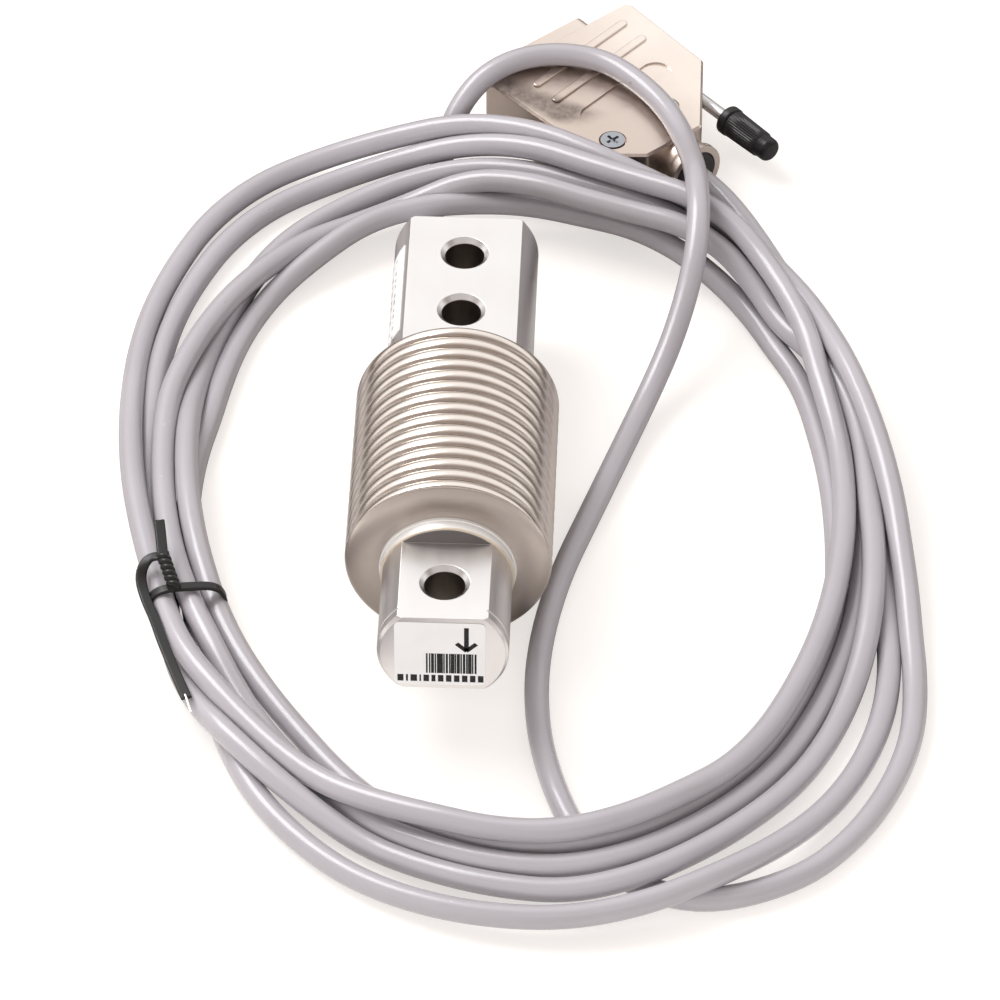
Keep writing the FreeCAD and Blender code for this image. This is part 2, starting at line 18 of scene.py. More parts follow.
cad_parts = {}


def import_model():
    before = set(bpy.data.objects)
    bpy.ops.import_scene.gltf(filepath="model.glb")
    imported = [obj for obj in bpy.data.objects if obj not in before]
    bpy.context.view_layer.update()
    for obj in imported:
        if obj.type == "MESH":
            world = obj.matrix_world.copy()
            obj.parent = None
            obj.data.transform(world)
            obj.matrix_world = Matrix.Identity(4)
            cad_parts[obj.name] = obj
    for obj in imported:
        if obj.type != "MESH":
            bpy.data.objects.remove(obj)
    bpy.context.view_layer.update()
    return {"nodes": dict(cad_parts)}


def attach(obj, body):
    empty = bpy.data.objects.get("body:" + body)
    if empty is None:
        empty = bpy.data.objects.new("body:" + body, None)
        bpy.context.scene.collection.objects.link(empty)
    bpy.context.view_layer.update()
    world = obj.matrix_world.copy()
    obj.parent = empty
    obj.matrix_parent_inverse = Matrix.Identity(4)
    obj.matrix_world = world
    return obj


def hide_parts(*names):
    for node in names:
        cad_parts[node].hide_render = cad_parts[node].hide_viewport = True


Point = tuple[float, float, float]
Flat = tuple[float, float]
Colour = tuple[float, float, float]
Socket = bpy.types.NodeSocket
Inputs = dict[str | int, object]
Shape = bmesh.types.BMesh
Piece = bpy.types.Object

LOG = logging.getLogger("load_cell")
MM = 0.001
TO_METRES = Matrix.Scale(MM, 4)
UNMOVED = Matrix.Identity(4)
MERGE_MM = 1e-4
# Ranges of a noise that patches, tones and grains are drawn from.
PATCHES: Flat = (0.35, 0.7)
TONES: Flat = (0.3, 0.7)
GRAINS: Flat = (0.25, 0.75)


class Body(Enum):
    """Bodies of the frame that a piece can ride on."""

    CELL = "load_cell"
    RIGHT_SCREW = "thumbscrew_right"
    LEFT_SCREW = "thumbscrew_left"


class Slot(Enum):
    """Material slots of the record; new pieces are passed one, which nothing uses."""

    BODY_STEEL = "body_steel"
    BELLOWS_STEEL = "bellows_steel"
    GLAND_METAL = "gland_metal"
    BLACK_RUBBER = "black_rubber"
    LABEL_WHITE = "label_white"
    CABLE_GREY = "cable_grey"
    TIE_BLACK = "tie_black"
    HOOD_NICKEL = "hood_nickel"
    SCREW_ZINC = "screw_zinc"
    SHELL_TIN = "shell_tin"
    KNOB_BLACK = "knob_black"


class Nodes:
    """One node tree, with short calls that add its nodes."""

    def __init__(self, tree: bpy.types.NodeTree, place: str = "Object") -> None:
        """Work on a tree.

        Args:
            tree: The tree.
            place: Texture coordinate that noises and axes read.
        """
        self.nodes = tree.nodes
        self.links = tree.links
        self.place = self.add("TexCoord").outputs[place]

    def put(self, node: bpy.types.Node, name: str | int, value: object) -> None:
        """Link a socket, or set a plain value, on one input of a node."""
        if isinstance(value, Socket):
            self.links.new(value, node.inputs[name])
        else:
            node.inputs[name].default_value = value

    def add(self, kind: str, inputs: Inputs | None = None, **settings: str) -> bpy.types.Node:
        """Add a node.

        Args:
            kind: Its type, without the words that all shader nodes begin with.
            inputs: Value or source of each input, by name or number.
            settings: Settings of the node itself.

        Returns:
            The node.
        """
        node = self.nodes.new(f"ShaderNode{kind}")
        for name, value in settings.items():
            setattr(node, name, value)
        for name, value in (inputs or {}).items():
            self.put(node, name, value)
        return node

    def noise(self, scale: float, detail: float, stretch: Point = (1.0, 1.0, 1.0)) -> Socket:
        """Add a noise texture.

        Args:
            scale: Features per metre.
            detail: Octaves of finer noise.
            stretch: Factor of the scale along each axis.

        Returns:
            The noise value, about 0.5 on average.
        """
        place = self.add("Mapping", {"Vector": self.place, "Scale": stretch}).outputs["Vector"]
        return self.add("TexNoise", {"Vector": place, "Scale": scale, "Detail": detail}).outputs["Fac"]

    def axis(self, letter: str) -> Socket:
        """Coordinate of the place along one axis."""
        return self.add("SeparateXYZ", {"Vector": self.place}).outputs[letter]

    def calc(self, operation: str, *terms: object) -> Socket:
        """Join values by a Math node's operation."""
        return self.add("Math", dict(enumerate(terms)), operation=operation).outputs["Value"]

    def spread(
        self, source: object, given: Flat, wanted: Flat = (0.0, 1.0), form: str = "SMOOTHSTEP"
    ) -> Socket:
        """Map a value from one range to another and hold it at the ends.

        Args:
            source: The value.
            given: Range of the source.
            wanted: Range of the result.
            form: Form of the way between the ends.

        Returns:
            The mapped value.
        """
        names = ("Value", "From Min", "From Max", "To Min", "To Max")
        inputs = dict(zip(names, (source, *given, *wanted)))
        return self.add("MapRange", inputs, interpolation_type=form).outputs["Result"]

    def blend(self, factor: object, first: object, second: object) -> Socket:
        """Blend two colours by the share of the second one."""
        inputs = {0: factor}
        for number, value in ((6, first), (7, second)):
            inputs[number] = value if isinstance(value, Socket) else (*value, 1.0)
        return self.add("Mix", inputs, data_type="RGBA").outputs[2]


class Shader(Nodes):
    """A node material with one principled surface."""

    def __init__(self, name: str) -> None:
        """Start the material of a name."""
        self.material = bpy.data.materials.new(name)
        self.material.use_nodes = True
        super().__init__(self.material.node_tree)
        self.surface = self.nodes["Principled BSDF"]

    def feed(self, **values: object) -> None:
        """Set or link sockets of the surface, with an underscore for each space in a socket's name."""
        for name, value in values.items():
            self.put(self.surface, name.replace("_", " "), value)

    def relief(self, height: Socket, depth_mm: float) -> None:
        """Use a height from 0 to 1 as the surface's bump, on top of any bump it has."""
        bump = self.add("Bump", {"Height": height, "Distance": depth_mm * MM, "Strength": 1.0})
        normal = self.surface.inputs["Normal"]
        if normal.is_linked:
            self.put(bump, "Normal", normal.links[0].from_socket)
        self.feed(Normal=bump.outputs["Normal"])


@dataclass(frozen=True)
class Finish:
    """Look of a surface, made into one material when it is first used."""

    name: str

    def paint(self, shader: Shader) -> None:
        """Feed the surface of the material."""
        raise NotImplementedError

    @functools.cache
    def material(self) -> bpy.types.Material:
        """The finish as a material."""
        shader = Shader(self.name)
        self.paint(shader)
        return shader.material


@dataclass(frozen=True)
class Metal(Finish):
    """Machined, formed or plated metal with a faint grain, uneven gloss and small stains."""

    colour: Colour
    shade: Colour
    roughness: float
    spread: float = 0.06
    grain_scale: float = 900.0
    grain_stretch: Point = (1.0, 1.0, 1.0)
    grain_depth_mm: float = 0.004
    patch_scale: float = 60.0

    def paint(self, shader: Shader) -> None:
        """Lay patches over the colour and the grain over the gloss."""
        toned = shader.spread(shader.noise(self.patch_scale, detail=5.0), PATCHES)
        grain = shader.noise(self.grain_scale, 4.0, self.grain_stretch)
        gloss = (self.roughness - self.spread, self.roughness + self.spread)
        shader.feed(Base_Color=shader.blend(toned, self.colour, self.shade))
        shader.feed(Roughness=shader.spread(grain, GRAINS, gloss), Metallic=1.0)
        shader.relief(grain, self.grain_depth_mm)


@dataclass(frozen=True)
class HoodNickel(Finish):
    """Nickel plate of the hood, bright on its right, with painted shade that darkens its left and a mottled
    painted reflection of the cable there.
    """

    name: str = "nickel_plate"
    colour: Colour = (0.86, 0.77, 0.70)
    shade: Colour = (0.82, 0.72, 0.65)
    # The next two colours are painted: shade on the hood's left, and a dark reflection of the cable there.
    left_painted_shade: Colour = (0.56, 0.46, 0.40)
    painted_reflection: Colour = (0.20, 0.16, 0.14)
    gloss: Flat = (0.29, 0.41)
    patch_scale: float = 70.0
    grain_scale: float = 650.0
    grain_depth_mm: float = 0.005
    uneven_scale: float = 90.0
    uneven_reach: float = 0.006
    turn_deg: float = 42.0
    left_painted_shade_reach: Flat = (0.094, 0.126)
    left_painted_shade_share: float = 0.85
    painted_reflection_turn_deg: float = 64.3
    painted_reflection_width: tuple[Flat, Flat] = ((0.1095, 0.1130), (0.1155, 0.1190))
    painted_reflection_length: tuple[Flat, Flat] = ((0.066, 0.074), (0.088, 0.093))
    painted_reflection_bottom: Flat = (0.0131, 0.0136)
    painted_reflection_share: Flat = (0.95, 0.7)
    painted_reflection_mottle_scale: float = 900.0

    def across(self, shader: Shader, turn_deg: float, uneven: Socket) -> Socket:
        """Distance along a level direction, made a little uneven.

        Args:
            shader: The material.
            turn_deg: Turn of the direction from X.
            uneven: What makes it uneven, in metres.

        Returns:
            The distance.
        """
        turn = math.radians(turn_deg)
        east = shader.calc("MULTIPLY", shader.axis("X"), math.cos(turn))
        north = shader.calc("MULTIPLY", shader.axis("Y"), math.sin(turn))
        return shader.calc("ADD", shader.calc("ADD", east, north), uneven)

    def paint(self, shader: Shader) -> None:
        """Lay painted shade on the left and a mottled painted reflection of the cable over the plate."""
        grain = shader.noise(self.grain_scale, detail=4.0)
        patches = shader.spread(shader.noise(self.patch_scale, detail=5.0), PATCHES)
        plate = shader.blend(patches, self.colour, self.shade)
        ripple = shader.calc("SUBTRACT", shader.noise(self.uneven_scale, detail=2.0), 0.5)
        uneven = shader.calc("MULTIPLY", ripple, self.uneven_reach)
        along = self.across(shader, self.turn_deg, uneven)
        # Painted shade: the plate is laid darker towards the hood's left, standing in for the shade and dark
        # reflections that fall there.
        toned = shader.blend(shader.spread(along, self.left_painted_shade_reach, (self.left_painted_shade_share, 0.0)), plate, self.left_painted_shade)
        # Painted reflection: a mottled dark band, held between four edges and kept to the hood's top, stands
        # in for the reflection of the cable over it.
        beside = self.across(shader, self.painted_reflection_turn_deg, uneven)
        back = self.across(shader, self.turn_deg + 90.0, uneven)
        painted_reflection_mask = shader.spread(shader.noise(self.painted_reflection_mottle_scale, detail=3.0), TONES, self.painted_reflection_share)
        edges = [shader.spread(shader.axis("Z"), self.painted_reflection_bottom)]
        for place, (rise, fall) in ((beside, self.painted_reflection_width), (back, self.painted_reflection_length)):
            edges += [shader.spread(place, rise), shader.spread(place, fall, (1.0, 0.0))]
        for edge in edges:
            painted_reflection_mask = shader.calc("MULTIPLY", painted_reflection_mask, edge)
        shader.feed(Base_Color=shader.blend(painted_reflection_mask, toned, self.painted_reflection))
        shader.feed(Roughness=shader.spread(grain, GRAINS, self.gloss), Metallic=1.0)
        shader.relief(grain, self.grain_depth_mm)


@dataclass(frozen=True)
class BellowsSteel(Finish):
    """Rolled and welded steel of the bellows: blasted dome, a front neck ring laid pale and partly
    non-metallic as a painted highlight, and heat tint at both necks.
    """

    name: str = "bellows_steel"
    colour: Colour = (0.80, 0.725, 0.665)
    shade: Colour = (0.77, 0.69, 0.63)
    blasted: Colour = (0.54, 0.48, 0.435)
    # Painted highlight: this pale colour of the front neck ring stands in for the bright reflection of the
    # steel there.
    painted_highlight_ring: Colour = (0.88, 0.86, 0.84)
    tint: Colour = (0.72, 0.59, 0.43)
    gloss: Flat = (0.36, 0.20)
    gloss_uneven: Flat = (-0.02, 0.03)
    dome_y: Flat = (-35.4, -34.4)
    collar_y: Flat = (-36.5, -36.4)
    collar_metal: float = 0.35
    weld_y: Flat = (-39.05, -38.95)
    weld_share: float = 0.8
    weld_jag: float = 0.6
    rear_y: Flat = (14.9, 15.4)
    rear_share: float = 0.25
    patch_scale: float = 90.0
    grain_scale: float = 420.0
    drawn_scale: float = 200.0
    drawn_stretch: Point = (1.0, 16.0, 1.0)
    drawn_depth_mm: float = 0.001

    def paint(self, shader: Shader) -> None:
        """Change colour and gloss along the sleeve."""
        along = shader.axis("Y")
        grain = shader.noise(self.grain_scale, detail=5.0)
        dome, painted_highlight_ring, weld, rear = (
            (first * MM, last * MM) for first, last in (self.dome_y, self.collar_y, self.weld_y, self.rear_y)
        )
        patches = shader.spread(shader.noise(self.patch_scale, detail=5.0), PATCHES)
        rolled = shader.blend(patches, self.colour, self.shade)
        steel = shader.blend(shader.spread(along, dome, (1.0, 0.0)), rolled, self.blasted)
        # Painted highlight: the front neck ring is laid pale here and made partly non-metallic further down,
        # so that the lamps light it white.
        ground = shader.blend(shader.spread(along, painted_highlight_ring, (1.0, 0.0)), steel, self.painted_highlight_ring)
        jagged = shader.calc("MULTIPLY", shader.calc("SUBTRACT", grain, 0.5), self.weld_jag * MM)
        front_tint = shader.spread(shader.calc("ADD", along, jagged), weld, (self.weld_share, 0.0))
        rear_tint = shader.spread(along, rear, (0.0, self.rear_share))
        tinted = shader.calc("MAXIMUM", front_tint, rear_tint)
        satin = shader.spread(along, dome, self.gloss)
        uneven = shader.spread(grain, TONES, self.gloss_uneven)
        shader.feed(Base_Color=shader.blend(tinted, ground, self.tint))
        shader.feed(Roughness=shader.calc("ADD", satin, uneven))
        shader.feed(Metallic=shader.spread(along, painted_highlight_ring, (self.collar_metal, 1.0)))
        shader.relief(shader.noise(self.drawn_scale, 3.0, self.drawn_stretch), self.drawn_depth_mm)


@dataclass(frozen=True)
class Plastic(Finish):
    """Moulded or drawn plastic or rubber with a soft gloss and a fine grain."""

    colour: Colour
    shade: Colour
    roughness: float
    gloss: float = 0.5
    smoother: float = 0.06
    rougher: float = 0.08
    grain_scale: float = 1500.0
    grain_depth_mm: float = 0.01
    patch_scale: float = 45.0

    def paint(self, shader: Shader) -> None:
        """Lay patches over the colour and the gloss."""
        patches = shader.noise(self.patch_scale, detail=5.0)
        gloss = (self.roughness - self.smoother, self.roughness + self.rougher)
        shader.feed(Base_Color=shader.blend(shader.spread(patches, TONES), self.colour, self.shade))
        shader.feed(Roughness=shader.spread(patches, TONES, gloss), Specular_IOR_Level=self.gloss)
        shader.relief(shader.noise(self.grain_scale, detail=2.0), self.grain_depth_mm)


@dataclass(frozen=True)
class CableJacket(Finish):
    """Grey jacket of the cable: satin, with small scuffs and a few specks of dirt."""

    name: str = "cable_jacket"
    colour: Colour = (0.442, 0.418, 0.448)
    shade: Colour = (0.408, 0.385, 0.412)
    scuff: Colour = (0.530, 0.507, 0.530)
    dirt: Colour = (0.250, 0.215, 0.190)
    gloss: Flat = (0.28, 0.33)
    coat: float = 0.55
    coat_roughness: float = 0.16
    patch_scale: float = 35.0
    patch_depth_mm: float = 0.15
    grain_scale: float = 1800.0
    grain_depth_mm: float = 0.012
    scuff_scale: float = 420.0
    scuff_stretch: Point = (1.0, 1.0, 2.5)
    scuff_range: Flat = (0.72, 0.78)
    dirt_scale: float = 240.0
    dirt_range: Flat = (0.79, 0.82)
    marked: Flat = (0.0, 0.6)

    def paint(self, shader: Shader) -> None:
        """Lay tones, scuffs and dirt over the colour."""
        patches = shader.noise(self.patch_scale, detail=4.0)
        scuffs = shader.noise(self.scuff_scale, 3.0, self.scuff_stretch)
        spots = shader.noise(self.dirt_scale, detail=2.0)
        base = shader.blend(shader.spread(patches, TONES), self.colour, self.shade)
        scuffed = shader.blend(shader.spread(scuffs, self.scuff_range, self.marked), base, self.scuff)
        dirty = shader.blend(shader.spread(spots, self.dirt_range, self.marked), scuffed, self.dirt)
        shader.feed(Base_Color=dirty, Roughness=shader.spread(patches, TONES, self.gloss))
        shader.feed(Specular_IOR_Level=0.5, Coat_Weight=self.coat, Coat_Roughness=self.coat_roughness)
        shader.relief(shader.noise(self.grain_scale, detail=2.0), self.grain_depth_mm)
        shader.relief(patches, self.patch_depth_mm)


@dataclass(frozen=True)
class LabelStock(Finish):
    """White label film with a soft gloss, faint stains and, on a printed one, rows of plain grey fields."""

    colour: Colour = (0.94, 0.935, 0.93)
    shade: Colour = (0.91, 0.90, 0.89)
    ink: Colour = (0.30, 0.28, 0.30)
    gloss: Flat = (0.36, 0.48)
    stain_scale: float = 120.0
    stain_range: Flat = (0.4, 0.75)
    grain_scale: float = 2500.0
    grain_depth_mm: float = 0.004
    rows_per_metre: float = 0.0
    row_range: Flat = (0.1, 0.3)
    field_scale: float = 900.0
    field_stretch: Point = (0.05, 1.0, 0.05)
    field_range: Flat = (0.48, 0.52)
    field_share: float = 0.85
    print_top: Flat = (0.0266, 0.0272)

    def paint(self, shader: Shader) -> None:
        """Lay stains and any rows of fields over the film."""
        stains = shader.noise(self.stain_scale, detail=4.0)
        paper = shader.blend(shader.spread(stains, self.stain_range), self.colour, self.shade)
        if self.rows_per_metre:
            height = shader.axis("Z")
            rows = shader.calc("SINE", shader.calc("MULTIPLY", height, self.rows_per_metre * math.tau))
            fields = shader.noise(self.field_scale, 0.0, self.field_stretch)
            inked = shader.spread(fields, self.field_range, (0.0, self.field_share))
            edges = (shader.spread(rows, self.row_range), shader.spread(height, self.print_top, (1.0, 0.0)))
            for edge in edges:
                inked = shader.calc("MULTIPLY", inked, edge)
            paper = shader.blend(inked, paper, self.ink)
        shader.feed(Base_Color=paper, Roughness=shader.spread(stains, TONES, self.gloss))
        shader.relief(shader.noise(self.grain_scale, detail=2.0), self.grain_depth_mm)


@dataclass(frozen=True)
class Ink(Finish):
    """Flat black print with slightly uneven cover."""

    name: str = "label_ink"
    colour: Colour = (0.016, 0.015, 0.016)
    shade: Colour = (0.035, 0.032, 0.034)
    gloss: Flat = (0.50, 0.62)
    cover_scale: float = 1600.0
    cover_range: Flat = (0.4, 0.7)

    def paint(self, shader: Shader) -> None:
        """Lay the cover's tone over colour and gloss."""
        cover = shader.noise(self.cover_scale, detail=3.0)
        shader.feed(Base_Color=shader.blend(shader.spread(cover, self.cover_range), self.colour, self.shade))
        shader.feed(Roughness=shader.spread(cover, TONES, self.gloss), Specular_IOR_Level=0.2)


BODY_STEEL = Metal(
    "machined_steel", (0.77, 0.745, 0.73), (0.745, 0.715, 0.70), 0.31, 0.025,
    grain_scale=700.0, grain_stretch=(1.0, 0.05, 1.0), grain_depth_mm=0.0008,
)
# Painted shade: the bore walls take a darker steel colour, standing in for the shade inside the holes; the
# fine ring grain is real.
BORE_STEEL_PAINTED_SHADE = Metal(
    "bored_steel_painted_shade", (0.36, 0.32, 0.29), (0.30, 0.265, 0.24), 0.36,
    grain_scale=2200.0, grain_stretch=(0.02, 0.02, 1.0), grain_depth_mm=0.006,
)
MILLED_STEEL = Metal(
    "milled_steel", (0.30, 0.28, 0.28), (0.25, 0.235, 0.235), 0.36,
    grain_scale=1200.0, grain_stretch=(0.05, 1.0, 1.0),
)
HOOD_NICKEL = HoodNickel()
GLAND_NICKEL = Metal("plated_brass", (0.82, 0.79, 0.75), (0.76, 0.72, 0.66), 0.23, 0.03)
SCREW_ZINC = Metal("zinc_plate", (0.72, 0.73, 0.75), (0.64, 0.65, 0.67), 0.34, 0.05, 500.0)
# The hood's closing screws take a darker copy of the zinc plate, with the same gloss.
HOOD_SCREW_ZINC = Metal("darker_zinc_plate", (0.40, 0.41, 0.43), (0.34, 0.35, 0.37), 0.34, 0.05, 500.0)
GAUGE_FOIL = Metal("gauge_foil", (0.80, 0.56, 0.34), (0.72, 0.48, 0.28), 0.35)
PIN_GOLD = Metal("pin_gold", (0.95, 0.74, 0.36), (0.88, 0.64, 0.28), 0.22, 0.04)
WIRE_SILVER = Metal("bare_wire", (0.86, 0.85, 0.84), (0.78, 0.77, 0.76), 0.22, 0.04)
BLACK_RUBBER = Plastic("black_rubber", (0.018, 0.017, 0.018), (0.030, 0.028, 0.029), 0.48, 0.4)
TIE_BLACK = Plastic("tie_black", (0.010, 0.009, 0.009), (0.022, 0.019, 0.018), 0.35, 0.40)
KNOB_BLACK = Plastic("knob_black", (0.008, 0.007, 0.009), (0.016, 0.014, 0.017), 0.34, 0.35)
INSULATOR_BLACK = Plastic("insulator_black", (0.022, 0.022, 0.024), (0.034, 0.034, 0.036), 0.45)
BOARD_GREEN = Plastic("board_green", (0.020, 0.130, 0.055), (0.015, 0.100, 0.045), 0.40)
WIRE_PLASTIC = Plastic("wire_plastic", (0.55, 0.10, 0.07), (0.46, 0.08, 0.06), 0.42)


def linked(name: str, data: bpy.types.ID) -> Piece:
    """New object of a name in the scene."""
    item = bpy.data.objects.new(name, data)
    bpy.context.scene.collection.objects.link(item)
    return item


def new_piece(bm: Shape, name: str, place: Matrix = TO_METRES, sharp_deg: float = 35.0) -> Piece:
    """Turn a bmesh into a smooth shaded object at the origin, and free the bmesh.

    Args:
        bm: The shape.
        name: Name of the object and its mesh.
        place: Transform from the shape's own frame to the frame in metres.
        sharp_deg: Edges that turn by more stay sharp.

    Returns:
        The new object.
    """
    bmesh.ops.transform(bm, matrix=place, verts=bm.verts)
    for face in bm.faces:
        face.smooth = True
    limit = math.radians(sharp_deg)
    for edge in bm.edges:
        edge.smooth = len(edge.link_faces) == 2 and edge.calc_face_angle() < limit
    mesh = bpy.data.meshes.new(name)
    bm.to_mesh(mesh)
    bm.free()
    return linked(name, mesh)


def cleaned(bm: Shape) -> Shape:
    """Merge double points and turn all faces outwards."""
    bmesh.ops.remove_doubles(bm, verts=bm.verts, dist=MERGE_MM)
    bmesh.ops.recalc_face_normals(bm, faces=bm.faces)
    return bm


def spun(profile: Sequence[Flat], centre: Flat, steps: int, closed: bool = False) -> Shape:
    """Spin a profile of (radius, y) points about a line along Y.

    Args:
        profile: The points, in order.
        centre: Place (x, z) of the line.
        steps: Steps in the full turn.
        closed: Whether the last point joins the first.

    Returns:
        The closed shape.
    """
    bm = bmesh.new()
    points = [bm.verts.new((centre[0] + radius, y, centre[1])) for radius, y in profile]
    edges = [bm.edges.new(pair) for pair in zip(points, points[1:])]
    if closed:
        edges.append(bm.edges.new((points[-1], points[0])))
    bmesh.ops.spin(
        bm,
        geom=points + edges,
        cent=(centre[0], 0.0, centre[1]),
        axis=(0.0, 1.0, 0.0),
        angle=math.tau,
        steps=steps,
        use_merge=True,
    )
    return cleaned(bm)


def arc(centre: Flat, reach: Flat, first_deg: float, last_deg: float, steps: int) -> list[Flat]:
    """Points on an ellipse's arc, from an angle to another, both included.

    Args:
        centre: Centre (radius, y).
        reach: Half axes along radius and y.
        first_deg: Angle of the first point.
        last_deg: Angle of the last point.
        steps: Steps between them.

    Returns:
        The points.
    """
    angles = [math.radians(first_deg + (last_deg - first_deg) * step / steps) for step in range(steps + 1)]
    return [(centre[0] + reach[0] * math.cos(a), centre[1] + reach[1] * math.sin(a)) for a in angles]


def swept(route: Sequence[Point], section: Sequence[Flat], cyclic: bool = False) -> Shape:
    """Sweep a closed section along a smooth route.

    Args:
        route: Control points of the route.
        section: Corners of the section.
        cyclic: Whether the route is a closed loop.

    Returns:
        The swept shape, with its ends filled.
    """
    outline = bpy.data.curves.new("section", "CURVE")
    path = bpy.data.curves.new("sweep", "CURVE")
    path.dimensions = "3D"
    border = outline.splines.new("POLY")
    line = path.splines.new("NURBS")
    for spline, places in ((border, [(*corner, 0.0) for corner in section]), (line, route)):
        spline.points.add(len(places) - 1)
        for point, place in zip(spline.points, places):
            point.co = (*place, 1.0)
    border.use_cyclic_u = True
    line.order_u = 3
    line.use_cyclic_u = cyclic
    line.use_endpoint_u = not cyclic
    holder = linked("section", outline)
    path.bevel_mode = "OBJECT"
    path.bevel_object = holder
    path.use_fill_caps = not cyclic
    path.resolution_u = 6
    path.twist_mode = "Z_UP"
    carrier = linked("sweep", path)
    bpy.context.view_layer.update()
    ready = carrier.evaluated_get(bpy.context.evaluated_depsgraph_get())
    mesh = bpy.data.meshes.new_from_object(ready)
    bm = bmesh.new()
    bm.from_mesh(mesh)
    for item in (holder, carrier):
        bpy.data.objects.remove(item)
    bpy.data.meshes.remove(mesh)
    return cleaned(bm)


def joined(parts: Sequence[Shape]) -> Shape:
    """Put several shapes in one bmesh and free them."""
    whole = bmesh.new()
    for part in parts:
        mesh = bpy.data.meshes.new("part")
        part.to_mesh(mesh)
        part.free()
        whole.from_mesh(mesh)
        bpy.data.meshes.remove(mesh)
    return whole


@dataclass
class Dresser:
    """Dresses nodes of the frame and new pieces with finishes and bodies."""

    nodes: dict[str, Piece]
    flat_deg: float = 0.4
    sharp_deg: float = 28.0
    merge: float = 1e-6

    def wear(self, piece: Piece, body: Body, slot: Slot, *finishes: Finish) -> Piece:
        """Give a new piece its materials and its body.

        Args:
            piece: The piece, in place.
            body: Body that it rides on.
            slot: Not used.
            finishes: Its finishes, in the order of their face numbers.

        Returns:
            The piece.
        """
        piece.data.materials.clear()
        for finish in finishes:
            piece.data.materials.append(finish.material())
        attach(piece, body.value)
        LOG.info("%s rides on %s", piece.name, body.value)
        return piece

    def paint(self, finish: Finish, *names: str) -> list[Piece]:
        """Give nodes that keep their shape a finish, and return them."""
        for name in names:
            slots = self.nodes[name].material_slots
            if slots:
                for slot in slots:
                    slot.material = finish.material()
            else:
                self.nodes[name].data.materials.append(finish.material())
            LOG.info("%s keeps its shape", name)
        return [self.nodes[name] for name in names]

    def copy(self, node: str, name: str, round_mm: float, slot: Slot, *finishes: Finish) -> Piece:
        """Copy a node's mesh into a clean piece with rounded edges that stands for the node.

        Args:
            node: The node.
            name: Name of the copy.
            round_mm: Width of the rounding on sharp edges.
            slot: Passed on, but not used.
            finishes: Its finishes, in the order of their face numbers.

        Returns:
            The copy.
        """
        bm = bmesh.new()
        bm.from_mesh(self.nodes[node].data)
        bmesh.ops.remove_doubles(bm, verts=bm.verts, dist=self.merge)
        bmesh.ops.dissolve_limit(bm, angle_limit=math.radians(self.flat_deg), verts=bm.verts, edges=bm.edges)
        piece = new_piece(bm, name, UNMOVED, self.sharp_deg)
        if "custom_normal" in piece.data.attributes:
            piece.data.attributes.remove(piece.data.attributes["custom_normal"])
        rounding = piece.modifiers.new("rounding", "BEVEL")
        rounding.width = round_mm * MM
        rounding.segments = 2
        rounding.limit_method = "ANGLE"
        rounding.angle_limit = math.radians(self.sharp_deg)
        rounding.harden_normals = True
        rounding.use_clamp_overlap = True
        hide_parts(node)
        return self.wear(piece, Body.CELL, slot, *finishes)


